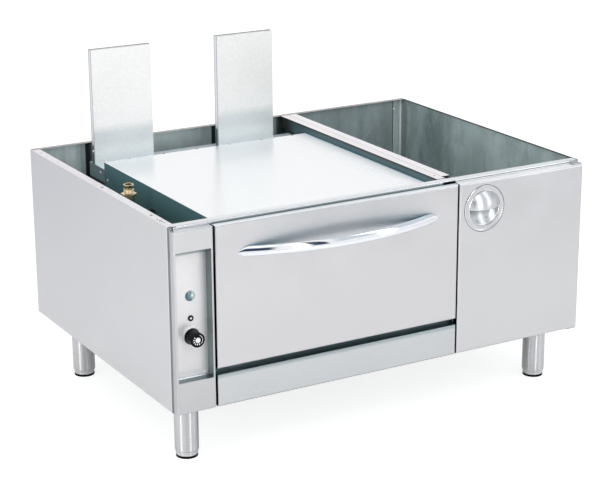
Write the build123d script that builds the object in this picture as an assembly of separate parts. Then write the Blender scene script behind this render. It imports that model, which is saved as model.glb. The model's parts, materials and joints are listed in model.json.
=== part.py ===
from build123d import *
import math
import os

os.makedirs("parts", exist_ok=True)

# Gas oven base with a storage cabinet, open at the top to carry a cooking unit.
# +Z up, the doors face -Y, and the origin is on the floor under the middle of the unit.

# Whole unit
body_width = 1200.0
body_depth = 850.0
body_height = 466.0
leg_height = 150.0

# Sheet
sheet = 1.2
bend = 2.4
plating = 1.0
tray_sheet = 1.5
liner_sheet = 1.5
seam = 0.3
running = 0.05

# Rim of the body
side_flange = 22.0
right_hem = 6.0
back_flange = 18.0
rail_depth = 22.0
rail_face = 30.0
rail_lip = 12.0
tray_lip = 25.0
cross_rail_width = 25.5
cross_rail_leg = 35.0
cross_rail_lip = 12.0
cross_rail_notch = 22.0
wall_return = 14.0
post_width = 33.0
rail_inset = 14.0

# Holes in the rim for what stands on it
rim_hole_radius = 2.3
rim_hole_inset = 11.0
rim_hole_first = 110.0
rim_hole_spacing = 285.0
rim_hole_count = 3
rim_corner_holes = (39.0, 52.0, 755.0, 795.0)
back_rim_holes = (158.0, 545.0)
cross_rail_hole_front = 59.0
cross_rail_hole_back = 11.0

# Doors and front panels
door_proud = 22.0
door_stand_off = 4.0
door_drop = 8.5
door_bend = 5.0
door_gap = 3.5
oven_door_left = 112.0
oven_door_bottom = 98.5
cabinet_door_width = 392.5
cabinet_door_bottom = 2.0
plinth_height = 84.0

# Control panel
control_inset = 2.5
control_width = 104.0
control_bottom = 1.5
recess_stile = 5.5
recess_top_drop = 62.0
recess_bottom = 80.5
recess_depth = 30.0
control_axis = 57.5
knob_height = 185.5
igniter_height = 230.0
sight_height = 286.0

# Thermostat knob and spindle
knob_radius = 18.2
knob_skirt_radius = 19.2
knob_skirt = 5.0
knob_length = 33.0
knob_flutes = 18
knob_flute_depth = 0.8
knob_push = 4.0
knob_push_space = 5.0
bezel_radius = 23.0
bezel_bore = 20.0
bezel_depth = 6.0
spindle_radius = 4.0
spindle_hole_radius = 5.5
spindle_flat = 2.8
spindle_reach = 18.0
spindle_seat = 24.0

# Igniter and sight glass
button_radius = 4.0
button_proud = 6.0
button_stem = 10.0
button_travel = 4.0
igniter_ring_radius = 7.2
igniter_ring_depth = 3.0
igniter_barrel_radius = 5.6
igniter_body_radius = 9.0
igniter_body_length = 46.0
sight_radius = 13.0
sight_rim = 1.6
sight_dome = 2.2
sight_barrel = 11.0
sight_barrel_length = 8.0

# Oven
channel_width = 146.5
casing_inset = 38.0
casing_drop = 20.0
casing_back = 690.0
oven_wall = 31.5
cavity_depth = 636.0
cavity_drop = 55.0
cavity_floor = 118.0
burner_space = 70.0
floor_plate = 6.0
floor_plate_play = 2.0
floor_slot_width = 10.0
floor_slot_length = 110.0
floor_slot_pitch = 50.0
floor_slots = 7
plate_slot_length = 106.0
plate_slot_inset = 36.0
plate_slot_pitch = 159.0
ledge_width = 12.0
ledge_height = 3.0
flue_slot_width = 300.0
flue_slot_height = 28.0
flue_slot_drop = 16.0

# Flue
flue_box_depth = 98.0
flue_box_height = 175.0
ledge_drop = 41.0
duct_width = 175.0
duct_depth = 18.0
duct_setback = 60.0
duct_rise = 272.0
right_duct_inset = 72.0

# Burner and gas line
burner_radius = 18.0
burner_arm_radius = 15.0
burner_wall = 1.5
burner_height = 80.0
burner_front = 95.0
burner_arm_length = 440.0
burner_arm_spacing = 250.0
burner_ports = 9
burner_port_radius = 3.0
saddle_inset = 75.0
saddle_sheet = 2.0
saddle_width = 24.0
venturi_mouth_radius = 22.0
venturi_length = 40.0
injector_gap = 8.0
injector_hex = 17.0
injector_length = 16.0
injector_shoulder = 5.6
injector_tip = 2.8
injector_nose = 8.5
pilot_wire = 4.0
pilot_pitch = 10.0
pilot_setback = 36.0
pipe_hole_radius = 12.0
burner_pipe_radius = 5.0
gas_pipe_radius = 10.6
gas_pipe_bend = 25.6
gas_pipe_wall = 2.0
gas_pipe_straight = 48.0
burner_pipe_bend = 15.0
bracket_height = 12.0
bracket_drop = 21.2
bracket_foot = 24.0
bracket_wall = 2.0
fitting_x = 80.0
fitting_y = 388.0
fitting_proud = 0.6
thread_radius = 13.2
thread_length = 22.6
thread_chamfer = 1.3
fitting_bore = 10.0
fitting_hex = 36.0
fitting_hex_height = 12.0
fitting_neck_radius = 15.0
fitting_neck_length = 18.0
fitting_lower_hex = 32.0
fitting_lower_height = 14.0
valve_radius = 22.0
valve_length = 46.0
valve_neck_radius = 11.0
valve_neck_length = 6.9
valve_shoulder = 4.6
valve_port_place = 27.6
valve_outlet_wall = 2.0
valve_port_radius = 9.0
valve_port_reach = 34.0

# Racks and shelf
rack_wire = 3.0
rack_stand_off = 10.0
rack_front = 60.0
rack_length = 540.0
rack_post_inset = 90.0
rack_stub = 2.7
rack_head = 25.0
rack_levels = 3
rack_first_level = 62.0
rack_spacing = 75.0
shelf_level = 1
shelf_wire = 3.2
shelf_rod = 1.6
shelf_bar = 2.2
shelf_corner = 19.0
shelf_front = 52.0
shelf_depth = 560.0
shelf_rods = 19

# Oven door
plug_play = 5.0
plug_depth = 20.0
gasket_width = 7.0
gasket_margin = 5.0
handle_inset = 61.0
handle_bulge = 51.0
handle_depth = 15.0
handle_height = 26.0
handle_drop = 74.5
handle_screw_radius = 3.0
handle_screw_inset = 24.0
handle_screw_depth = 6.0
hinge_inset = 60.0
hinge_rise = 6.0
hinge_back = 12.0
hinge_pin_radius = 3.5
hinge_pin_length = 24.0
hinge_ear = 5.0
hinge_ear_radius = 5.5
hinge_slot = 8.0
hinge_plate = 1.5
hinge_plate_width = 34.0
hinge_plate_drop = 17.0
hinge_arm_height = 28.0
hinge_arm_width = 24.0
hinge_arm_depth = 11.0

# Cabinet door
cup_radius = 62.0
cup_bowl_radius = 46.0
cup_bowl_depth = 13.5
cup_hood_height = 17.0
cup_sheet = 1.2
cup_rim_depth = 1.6
cup_inset = 77.0
cup_drop = 73.0
pivot_inset = 6.5
pivot_back = 8.0
pivot_radius = 3.0
pivot_bush_radius = 4.8
pivot_bush_length = 12.0
pivot_plate = 2.2
pivot_plate_width = 28.0
pivot_gap = 0.6
magnet_height = 40.0
magnet_width = 13.0
magnet_drop = 110.0
strike_sheet = 0.4

# Legs and feet
leg_inset_x = 70.0
leg_inset_front = 72.0
leg_inset_back = 145.0
leg_radius = 30.0
leg_wall = 1.5
leg_plate = 4.0
leg_plate_width = 90.0
leg_edge = 1.1
foot_height = 18.0
foot_radius = 27.0
foot_collar_radius = 29.4
foot_taper = 9.0
foot_pad = 3.5
foot_pad_radius = 27.5
insert_height = 14.0
foot_stem_radius = 8.0
foot_stem_length = 46.0

# Screws
screw_head_radius = 3.6
screw_head_height = 2.0
screw_edge = 1.0
duct_screw_drop = 6.0
box_screw_setback = 25.0
box_screw_drop = 14.0
casing_screw_inset = 20.0
casing_screw_drop = 26.0
post_screw_inset = 30.0
post_screw_drop = 31.0

# Planes that the pieces share
front_overhang = door_proud + handle_bulge + handle_depth / 2
left_x = -body_width / 2
right_x = body_width / 2
front_y = -(body_depth - front_overhang) / 2
back_y = front_y + body_depth
base_z = leg_height
rim_z = base_z + body_height
face_y = front_y - door_proud
door_back_y = front_y - door_stand_off
door_top_z = rim_z - door_drop
frame_back_y = front_y + sheet

# Places along the front
control_left_x = left_x + control_inset
control_right_x = control_left_x + control_width
left_return_x = control_left_x + recess_stile - sheet - seam
rail_left_x = left_x + rail_inset
door_left_x = left_x + oven_door_left
cabinet_door_left_x = right_x - cabinet_door_width
door_right_x = cabinet_door_left_x - door_gap
door_bottom_z = base_z + oven_door_bottom
cabinet_bottom_z = base_z + cabinet_door_bottom

# Places of the oven
casing_left_x = left_x + channel_width
casing_right_x = cabinet_door_left_x - casing_inset
casing_top_z = rim_z - casing_drop
casing_back_y = front_y + casing_back
cavity_left_x = casing_left_x + oven_wall
cavity_right_x = casing_right_x - oven_wall
oven_x = (cavity_left_x + cavity_right_x) / 2
cavity_top_z = rim_z - cavity_drop
cavity_back_y = frame_back_y + cavity_depth
floor_z = base_z + cavity_floor
liner_floor_z = floor_z - floor_plate - burner_space
cross_rail_left_x = casing_right_x + 2 * seam
cross_rail_right_x = cross_rail_left_x + cross_rail_width
wall_left_x = cross_rail_right_x + seam
wall_right_x = wall_left_x + cross_rail_width
ledge_z = rim_z - ledge_drop
flue_back_y = casing_back_y + flue_box_depth
duct_front_y = casing_back_y + duct_setback
duct_back_y = duct_front_y + duct_depth
duct_top_z = rim_z + duct_rise

# Places of the controls
plate_front_y = face_y + recess_depth
plate_back_y = plate_front_y + sheet
control_x = left_x + control_axis
knob_z = base_z + knob_height
igniter_z = base_z + igniter_height
sight_z = base_z + sight_height
knob_back_y = plate_front_y - knob_push_space

LOW = 0
HIGH = 1


def block(x, y, z):
    """A box between a low and a high limit along each axis."""
    size = [high - low for low, high in (x, y, z)]
    centre = [(high + low) / 2 for low, high in (x, y, z)]
    return Pos(*centre) * Box(*size)


def pan(x, y, z, thickness, radius, axis, side):
    """A folded sheet pan that is open at one side of one axis (0, 1 or 2)."""
    outer_limits = [x, y, z]
    inner_limits = [(low + thickness, high - thickness) for low, high in outer_limits]
    low, high = inner_limits[axis]
    inner_limits[axis] = (low - 3 * thickness, high) if side == LOW else (low, high + 3 * thickness)
    closed = -1 if side == LOW else 0
    direction = (Axis.X, Axis.Y, Axis.Z)[axis]
    outer = block(*outer_limits)
    inner = block(*inner_limits)
    outer = fillet(outer.faces().sort_by(direction)[closed].edges(), radius)
    inner = fillet(inner.faces().sort_by(direction)[closed].edges(), radius - thickness)
    return outer - inner


def rod(start, end, radius):
    """A round bar between two points."""
    line = Vector(*end) - Vector(*start)
    return extrude(Plane(start, z_dir=line) * Circle(radius), amount=line.length)


def hexagon(start, across_flats, height):
    """A hexagonal prism that stands up from a point."""
    corner_radius = across_flats / math.sqrt(3)
    return extrude(Pos(*start) * RegularPolygon(corner_radius, 6), amount=height)


def tube_run(points, bend_radius, radius, bore):
    """A bent pipe along straight runs joined by arcs."""
    path = FilletPolyline(*points, radius=bend_radius)
    start = Plane(path @ 0, z_dir=path % 0)
    pipe = sweep(start * Circle(radius), path=path)
    if bore > 0:
        pipe -= sweep(start * Circle(bore), path=path)
    return pipe


def spun(points, origin, direction):
    """A closed profile of (radius, height) points, turned about an axis through the origin."""
    face = make_face(Polyline(*[(radius, 0, height) for radius, height in points], close=True))
    solid = revolve(face, Axis.Z)
    return Plane(origin, z_dir=direction) * solid


def left_side_panel():
    """Side with a wide top flange, and a narrow front return that ends below the front rail."""
    flange_x = left_x + side_flange
    panel = pan((left_x, flange_x), (front_y, back_y), (base_z, rim_z), sheet, bend, 0, HIGH)
    inner_x = left_x + sheet
    panel -= block((inner_x, flange_x + seam), (back_y - back_flange - seam, back_y + seam),
                   (base_z - seam, rim_z + seam))
    panel -= block((left_return_x, flange_x + seam), (front_y - seam, back_y),
                   (base_z - seam, rim_z - bend))
    panel -= block((inner_x, flange_x + seam), (front_y - seam, back_y), (door_top_z, rim_z - sheet))
    panel -= block((inner_x, flange_x + seam), (frame_back_y, back_y), (base_z - seam, rim_z - sheet))
    hole_ys = [rim_hole_first + index * rim_hole_spacing for index in range(rim_hole_count)]
    hole_ys.extend(rim_corner_holes)
    for y in hole_ys:
        panel -= rim_hole(left_x + rim_hole_inset, front_y + y)
    return panel


def rim_hole(x, y):
    """A screw hole down through the rim."""
    return rod((x, y, rim_z - 2 * sheet), (x, y, rim_z + sheet), rim_hole_radius)


def right_side_panel():
    """Side with narrow hems at the top and the front."""
    hem_x = right_x - right_hem
    panel = pan((hem_x, right_x), (front_y, back_y), (base_z, rim_z), sheet, bend, 0, LOW)
    inner_x = right_x - sheet
    panel -= block((hem_x - seam, inner_x), (back_y - back_flange - seam, back_y + seam),
                   (base_z - seam, rim_z + seam))
    panel -= block((hem_x - seam, inner_x), (frame_back_y, back_y), (base_z - seam, rim_z - sheet))
    return panel


def back_panel():
    panel = pan((left_x + sheet, right_x - sheet), (back_y - back_flange, back_y), (base_z, rim_z),
                sheet, bend, 1, LOW)
    panel -= block((left_x, right_x), (back_y - back_flange - seam, back_y - sheet),
                   (base_z - seam, base_z + tray_lip + seam))
    for x in back_rim_holes:
        panel -= rim_hole(left_x + x, back_y - back_flange / 2)
    return panel


def base_tray():
    tray = pan((left_x + sheet, right_x - sheet), (frame_back_y, back_y - sheet),
               (base_z, base_z + tray_lip), tray_sheet, bend, 2, HIGH)
    for x, y in air_slots():
        tray -= Pos(x, y, base_z) * Box(floor_slot_width, floor_slot_length, tray_lip)
    return tray


def air_slots():
    """Middles of the slots that let air rise to the burner."""
    first_x = oven_x - (floor_slots - 1) / 2 * floor_slot_pitch
    y = front_y + burner_front + burner_arm_length / 2
    return [(first_x + slot * floor_slot_pitch, y) for slot in range(floor_slots)]


def front_rail():
    """Rail across the top of the front, notched round the left side's flange."""
    points = [(front_y + rail_depth, rim_z - rail_lip), (front_y + rail_depth, rim_z),
              (front_y, rim_z), (front_y, rim_z - rail_face)]
    path = FilletPolyline(*points, radius=bend)
    outline = path.offset_2d(sheet, side=Side.LEFT, closed=True)
    end_x = right_x - right_hem - seam
    section = Plane((rail_left_x, 0, 0), x_dir=(0, 1, 0), z_dir=(1, 0, 0)) * make_face(outline)
    rail = extrude(section, amount=end_x - rail_left_x, dir=(1, 0, 0))
    notch_x = (rail_left_x - seam, left_x + side_flange + seam)
    rail -= block(notch_x, (front_y + sheet, front_y + rail_depth + seam), (rim_z - rail_face, rim_z + seam))
    rail -= block(notch_x, (front_y - seam, front_y + bend), (rim_z - bend - seam, rim_z + seam))
    return rail


def cross_rail():
    points = [(cross_rail_right_x, rim_z - cross_rail_lip), (cross_rail_right_x, rim_z),
              (cross_rail_left_x, rim_z), (cross_rail_left_x, rim_z - cross_rail_leg)]
    span = (front_y + rail_depth + seam, back_y - back_flange - seam)
    path = FilletPolyline(*points, radius=bend)
    outline = path.offset_2d(sheet, side=Side.LEFT, closed=True)
    section = Plane((0, span[0], 0), x_dir=(1, 0, 0), z_dir=(0, -1, 0)) * make_face(outline)
    rail = extrude(section, amount=span[1] - span[0], dir=(0, 1, 0))
    x = (cross_rail_left_x + cross_rail_right_x) / 2
    for y in (front_y + cross_rail_hole_front, back_y - back_flange - cross_rail_hole_back):
        rail -= rim_hole(x, y)
    return rail


def cabinet_left_wall():
    """Wall with a top flange, cut back at the front rail, and a narrow front return."""
    back = back_y - sheet
    wall = pan((wall_left_x, wall_right_x), (front_y, back), (base_z + tray_sheet, rim_z),
               plating, bend, 0, LOW)
    inner_x = wall_right_x - plating
    wall -= block((wall_left_x - seam, inner_x), (back_y - back_flange - seam, back_y),
                  (base_z, rim_z + seam))
    wall -= block((inner_x - seam, wall_right_x + seam), (back_y - back_flange - seam, back_y),
                  (rim_z - bend - seam, rim_z + seam))
    wall -= block((wall_left_x - seam, inner_x), (front_y + sheet, back_y), (base_z, rim_z - plating))
    wall -= block((wall_left_x - seam, wall_right_x - wall_return), (front_y - seam, front_y + bend),
                  (base_z, rim_z + seam))
    wall -= block((wall_left_x - seam, wall_right_x + seam),
                  (front_y - seam, front_y + rail_depth + seam), (rim_z - rail_face - seam, rim_z + seam))
    wall -= block((wall_left_x - seam, inner_x), (front_y - seam, front_y + rail_depth + cross_rail_notch),
                  (rim_z - bend, rim_z + seam))
    tray_edge = tray_sheet + bend
    for y in ((front_y - seam, front_y + tray_edge), (back - tray_edge, back + seam)):
        wall -= block((wall_left_x - seam, wall_right_x + seam), y, (base_z, base_z + tray_lip + seam))
    return wall


def corner_posts():
    """Angles screwed up the two rear corners."""
    low_z = base_z + tray_lip + seam
    high_z = rim_z - bend - seam
    back = back_y - sheet
    y = (back - post_width, back)
    inner_y = (y[0] - seam, back - plating)
    posts = []
    for side, side_x in ((1, left_x + 2 * sheet), (-1, right_x - 2 * sheet)):
        across = sorted((side_x, side_x + side * post_width))
        inner_across = sorted((side_x + side * plating, side_x + side * (post_width + seam)))
        post = block(across, y, (low_z, high_z))
        upright = post.edges().filter_by(Axis.Z).sort_by_distance((side_x, back, (low_z + high_z) / 2))[0]
        posts.append(fillet(upright, bend) - block(inner_across, inner_y, (low_z - seam, high_z + seam)))
    return Compound(children=posts)


def control_panel():
    x = (control_left_x, control_right_x)
    z = (base_z + control_bottom, door_top_z)
    recess_x = (control_left_x + recess_stile, control_right_x - recess_stile)
    recess_z = (base_z + recess_bottom, rim_z - recess_top_drop)
    panel = pan(x, (face_y, front_y), z, sheet, bend, 1, HIGH)
    pocket = block((recess_x[0] - sheet, recess_x[1] + sheet), (face_y + sheet / 2, plate_back_y),
                   (recess_z[0] - sheet, recess_z[1] + sheet))
    panel += pocket
    panel -= block(recess_x, (face_y - sheet, plate_front_y), recess_z)
    through = (plate_front_y - sheet, plate_back_y + sheet)
    for radius, height in ((spindle_hole_radius, knob_z), (igniter_barrel_radius + seam, igniter_z),
                           (sight_barrel + seam, sight_z)):
        panel -= rod((control_x, through[0], height), (control_x, through[1], height), radius)
    return panel


def plinth_panel():
    return pan((door_left_x, door_right_x), (face_y, front_y), (base_z + control_bottom, base_z + plinth_height),
               sheet, door_bend, 1, HIGH)


def oven_front_frame():
    outer = block((control_right_x + 2 * seam, wall_right_x - wall_return - seam), (front_y, frame_back_y),
                  (base_z + control_bottom, rim_z - rail_face - seam))
    mouth = block((cavity_left_x, cavity_right_x), (front_y - sheet, frame_back_y + sheet),
                  (floor_z, cavity_top_z))
    return outer - mouth


def oven_casing():
    outer = block((casing_left_x, casing_right_x), (frame_back_y, casing_back_y),
                  (base_z + tray_sheet, casing_top_z))
    inner = block((casing_left_x + plating, casing_right_x - plating),
                  (front_y, casing_back_y - plating), (base_z, casing_top_z - plating))
    top_edges = outer.faces().sort_by(Axis.Z)[-1].edges().sort_by(Axis.Y)[1:]
    casing = fillet(top_edges, bend) - inner
    casing -= block((casing_left_x - seam, casing_right_x + seam), (front_y, frame_back_y + tray_sheet + bend),
                    (base_z, base_z + tray_lip + seam))
    casing -= flue_slot()
    casing -= pipe_hole()
    return casing


def flue_slot():
    """The slot through the back of the oven that lets the fumes out."""
    top_z = cavity_top_z - flue_slot_drop
    return block((oven_x - flue_slot_width / 2, oven_x + flue_slot_width / 2),
                 (cavity_back_y - liner_sheet, casing_back_y + 2 * plating),
                 (top_z - flue_slot_height, top_z))


def pipe_hole():
    """The hole through the left of the oven for the burner pipe."""
    y = front_y + burner_front
    z = base_z + burner_height
    return rod((casing_left_x - bend, y, z), (cavity_left_x + bend, y, z), pipe_hole_radius)


def oven_liner():
    box = pan((cavity_left_x - liner_sheet, cavity_right_x + liner_sheet),
              (frame_back_y, cavity_back_y + liner_sheet),
              (liner_floor_z - liner_sheet, cavity_top_z + liner_sheet), liner_sheet, bend, 1, LOW)
    ledge_top_z = floor_z - floor_plate
    for x in ((cavity_left_x, cavity_left_x + ledge_width), (cavity_right_x - ledge_width, cavity_right_x)):
        box += block(x, (frame_back_y, cavity_back_y), (ledge_top_z - ledge_height, ledge_top_z))
    box -= flue_slot()
    box -= pipe_hole()
    for x, y in air_slots():
        box -= Pos(x, y, liner_floor_z) * Box(floor_slot_width, floor_slot_length, 4 * liner_sheet)
    return box


def oven_insulation():
    wool = block((casing_left_x + plating, casing_right_x - plating),
                 (frame_back_y, casing_back_y - plating), (liner_floor_z, casing_top_z - plating))
    wool -= block((cavity_left_x - liner_sheet, cavity_right_x + liner_sheet),
                  (front_y, cavity_back_y + liner_sheet), (base_z, cavity_top_z + liner_sheet))
    corners = wool.edges().filter_by(Axis.Y).group_by(Axis.Z)[-1]
    wool = fillet(corners, bend)
    return wool - flue_slot() - pipe_hole()


def oven_floor_plate():
    plate = block((cavity_left_x + floor_plate_play, cavity_right_x - floor_plate_play),
                  (frame_back_y + floor_plate_play, cavity_back_y - floor_plate_play),
                  (floor_z - floor_plate, floor_z))
    middle_y = (frame_back_y + cavity_back_y) / 2
    for side in (-1, 1):
        for step in (-1, 0, 1):
            slot_x = oven_x + side * (cavity_right_x - oven_x - plate_slot_inset)
            slot_y = middle_y + step * plate_slot_pitch
            plate -= Pos(slot_x, slot_y, floor_z) * Box(floor_slot_width, plate_slot_length, 3 * floor_plate)
    return plate


def flue_box():
    outer = block((casing_left_x, casing_right_x), (casing_back_y, flue_back_y),
                  (ledge_z - flue_box_height, ledge_z))
    inner = block((casing_left_x + plating, casing_right_x - plating),
                  (casing_back_y + plating, flue_back_y - plating),
                  (ledge_z - flue_box_height + plating, ledge_z - plating))
    box = outer - inner - flue_slot()
    for left in duct_lefts():
        box -= block((left + plating, left + duct_width - plating),
                     (duct_front_y + plating, duct_back_y - plating), (ledge_z - 2 * plating, rim_z))
    return box


def duct_lefts():
    """Left sides of the two flue ducts."""
    return (casing_left_x, casing_right_x - right_duct_inset - duct_width)


def flue_duct(left):
    outer = block((left, left + duct_width), (duct_front_y, duct_back_y), (ledge_z, duct_top_z))
    inner = block((left + plating, left + duct_width - plating),
                  (duct_front_y + plating, duct_back_y - plating), (ledge_z - seam, duct_top_z + seam))
    return outer - inner


def burner():
    """A two-armed tube burner on welded saddles, fed through a venturi from the left."""
    y = front_y + burner_front
    z = base_z + burner_height
    arm_xs = (oven_x - burner_arm_spacing / 2, oven_x + burner_arm_spacing / 2)
    mouth_x = injector_tip_x() + injector_gap
    throat_x = mouth_x + venturi_length
    outer = rod((throat_x, y, z), (arm_xs[1] + burner_radius, y, z), burner_radius)
    inner_radius = burner_radius - burner_wall
    inner = rod((throat_x, y, z), (arm_xs[1] + inner_radius, y, z), inner_radius)
    for arm_x in arm_xs:
        outer += rod((arm_x, y, z), (arm_x, y + burner_arm_length, z), burner_arm_radius)
        inner += rod((arm_x, y, z), (arm_x, y + burner_arm_length - burner_wall, z),
                     burner_arm_radius - burner_wall)
    outer += spun([(0, 0), (venturi_mouth_radius, 0), (burner_radius, venturi_length), (0, venturi_length)],
                  (mouth_x, y, z), (1, 0, 0))
    inner += spun([(0, 0), (venturi_mouth_radius - burner_wall, 0), (inner_radius, venturi_length),
                   (0, venturi_length)], (mouth_x, y, z), (1, 0, 0))
    for arm_x in arm_xs:
        for along in (saddle_inset, burner_arm_length - saddle_inset):
            outer += block((arm_x - saddle_width / 2, arm_x + saddle_width / 2),
                           (y + along, y + along + saddle_sheet), (liner_floor_z, z))
    tube = outer - inner
    pitch = burner_arm_length / (burner_ports + 1)
    for arm_x in arm_xs:
        for port in range(1, burner_ports + 1):
            port_y = y + port * pitch
            tube -= rod((arm_x, port_y, z), (arm_x, port_y, z + 2 * burner_radius), burner_port_radius)
    return tube


def injector_tip_x():
    return cavity_left_x + bend + injector_length + injector_nose


def gas_injector():
    y = front_y + burner_front
    z = base_z + burner_height
    start_x = cavity_left_x + bend
    holder = Plane((start_x, y, z), z_dir=(1, 0, 0)) * extrude(
        RegularPolygon(injector_hex / math.sqrt(3), 6), amount=injector_length)
    nozzle = spun([(0, 0), (injector_shoulder, 0), (injector_tip, injector_nose), (0, injector_nose)],
                  (start_x + injector_length, y, z), (1, 0, 0))
    return holder + nozzle


def pilot():
    """Pilot burner, spark electrode and thermocouple on one small bracket beside the left arm."""
    arm_x = oven_x - burner_arm_spacing / 2
    y = front_y + burner_front + pilot_setback
    z = base_z + burner_height
    arm_side_x = arm_x - burner_arm_radius
    pieces = block((arm_side_x - 4 * pilot_pitch, arm_side_x), (y, y + plating),
                   (z - pilot_wire, z + pilot_wire))
    for place, radius, height in ((1, pilot_wire, 24), (2, pilot_wire / 2, 30), (3, pilot_wire * 0.7, 27)):
        x = arm_side_x - place * pilot_pitch
        pieces += rod((x, y, z - height / 2), (x, y, z + height / 2), radius)
    return pieces


def gas_inlet_fitting():
    """Brass union in the service channel, open at the top for the gas pipe of the cooking unit."""
    x = left_x + fitting_x
    y = front_y + fitting_y
    top_z = rim_z + fitting_proud
    hex_top_z = top_z - thread_length
    hex_base_z = hex_top_z - fitting_hex_height
    neck_base_z = hex_base_z - fitting_neck_length
    lower_z = neck_base_z - fitting_lower_height
    profile = [(0, hex_top_z), (thread_radius, hex_top_z), (thread_radius, top_z - thread_chamfer),
               (thread_radius - thread_chamfer, top_z), (0, top_z)]
    body = spun(profile, (x, y, 0), (0, 0, 1))
    body += hexagon((x, y, hex_base_z), fitting_hex, fitting_hex_height)
    body += rod((x, y, neck_base_z), (x, y, hex_base_z), fitting_neck_radius)
    body += hexagon((x, y, lower_z), fitting_lower_hex, fitting_lower_height)
    return body - rod((x, y, lower_z - seam), (x, y, top_z + seam), fitting_bore)


def fitting_base_z():
    return (rim_z + fitting_proud - thread_length - fitting_hex_height - fitting_neck_length
            - fitting_lower_height)


def gas_pipe():
    x = left_x + fitting_x
    y = front_y + fitting_y
    valve_y = valve_back_y()
    points = [(x, y, fitting_base_z()), (x, y, knob_z), (x, valve_y + 2 * gas_pipe_straight, knob_z),
              (control_x, valve_y + gas_pipe_straight, knob_z), (control_x, valve_y, knob_z)]
    return tube_run(points, gas_pipe_bend, gas_pipe_radius, gas_pipe_radius - gas_pipe_wall)


def pipe_bracket():
    """Angle on the casing that holds the upright gas pipe."""
    x = left_x + fitting_x
    y = front_y + fitting_y
    low_z = fitting_base_z() - bracket_drop
    high_z = low_z + bracket_height
    ring = rod((x, y, low_z), (x, y, high_z), gas_pipe_radius + bracket_wall)
    ring += block((x, casing_left_x), (y - bracket_wall / 2, y + bracket_wall / 2), (low_z, high_z))
    ring += block((casing_left_x - bracket_wall, casing_left_x), (y - bracket_foot / 2, y + bracket_foot / 2),
                  (low_z, high_z))
    return ring - rod((x, y, low_z - seam), (x, y, high_z + seam), gas_pipe_radius + running)


def valve_back_y():
    return plate_back_y + valve_length + valve_port_radius


def thermostat_valve():
    y = plate_back_y
    outlet_radius = gas_pipe_radius + valve_outlet_wall
    body = spun([(0, 0), (valve_neck_radius, 0), (valve_neck_radius, valve_neck_length),
                 (valve_radius, valve_neck_length + valve_shoulder), (valve_radius, valve_length),
                 (outlet_radius, valve_length), (outlet_radius, valve_length + valve_port_radius),
                 (0, valve_length + valve_port_radius)], (control_x, y, knob_z), (0, 1, 0))
    port_y = y + valve_port_place
    body += rod((control_x, port_y, knob_z), (control_x, port_y, knob_z - valve_port_reach), valve_port_radius)
    body -= rod((control_x, y - seam, knob_z), (control_x, y + spindle_seat + running, knob_z),
                spindle_radius + running)
    return body


def burner_pipe():
    port_y = plate_back_y + valve_port_place
    z = base_z + burner_height
    y = front_y + burner_front
    start_z = knob_z - valve_port_reach
    points = [(control_x, port_y, start_z), (control_x, port_y, z), (control_x, y, z),
              (cavity_left_x + bend, y, z)]
    return tube_run(points, burner_pipe_bend, burner_pipe_radius, burner_pipe_radius - plating)


def d_section(radius, flat):
    """A round section with one flat, for a shaft and its bore."""
    return Circle(radius) - Pos(0, -flat - radius) * Rectangle(2 * radius, 2 * radius)


def thermostat_spindle():
    start = (control_x, plate_back_y + spindle_seat, knob_z)
    length = spindle_seat + (plate_back_y - knob_back_y) + spindle_reach
    shaft = Plane(start, x_dir=(1, 0, 0), z_dir=(0, -1, 0)) * extrude(Circle(spindle_radius), amount=length)
    flat_start = (control_x, knob_back_y + knob_push + seam, knob_z)
    trim = Circle(2 * spindle_radius) - d_section(spindle_radius, spindle_flat)
    shaft -= Plane(flat_start, x_dir=(1, 0, 0), z_dir=(0, -1, 0)) * extrude(trim, amount=2 * spindle_reach)
    return shaft


def thermostat_knob():
    at_back = Plane((control_x, knob_back_y, knob_z), x_dir=(1, 0, 0), z_dir=(0, -1, 0))
    edge = knob_radius / 12
    knob = at_back * revolve(make_face(Polyline(
        (0, 0, 0), (knob_skirt_radius, 0, 0), (knob_skirt_radius, 0, knob_skirt),
        (knob_radius, 0, knob_skirt + edge), (knob_radius, 0, knob_length - edge),
        (knob_radius - edge, 0, knob_length), (0, 0, knob_length), close=True)), Axis.Z)
    flute_radius = 2 * knob_flute_depth
    for flute in range(knob_flutes):
        angle = 2 * math.pi * flute / knob_flutes
        reach = knob_radius + flute_radius - knob_flute_depth
        centre = Pos(reach * math.cos(angle), reach * math.sin(angle), knob_skirt + 2 * edge)
        knob -= at_back * centre * extrude(Circle(flute_radius), amount=knob_length)
    bore = extrude(d_section(spindle_radius + running, spindle_flat + running),
                   amount=spindle_reach + knob_push + running)
    return knob - at_back * bore


def knob_bezel():
    return spun([(bezel_bore, 0), (bezel_radius, 0), (bezel_radius, bezel_depth * 0.6),
                 (bezel_radius - bezel_depth * 0.3, bezel_depth), (bezel_bore, bezel_depth)],
                (control_x, plate_front_y, knob_z), (0, -1, 0))


def igniter_button():
    back_y = plate_back_y + button_stem
    length = button_stem + sheet + button_proud
    edge = button_radius / 4
    return spun([(0, 0), (button_radius, 0), (button_radius, length - edge), (button_radius - edge, length),
                 (0, length)], (control_x, back_y, igniter_z), (0, -1, 0))


def igniter_body():
    """Push igniter: a ring on the front of the plate, a barrel through it and the body behind."""
    bore = button_radius + running
    depth = button_stem + button_travel + seam
    edge = igniter_ring_depth / 3
    return spun([(bore, -igniter_ring_depth), (igniter_ring_radius - edge, -igniter_ring_depth),
                 (igniter_ring_radius, -igniter_ring_depth + edge), (igniter_ring_radius, 0),
                 (igniter_barrel_radius, 0), (igniter_barrel_radius, sheet),
                 (igniter_body_radius, sheet), (igniter_body_radius, sheet + igniter_body_length),
                 (0, sheet + igniter_body_length), (0, sheet + depth), (bore, sheet + depth)],
                (control_x, plate_front_y, igniter_z), (0, 1, 0))


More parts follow.
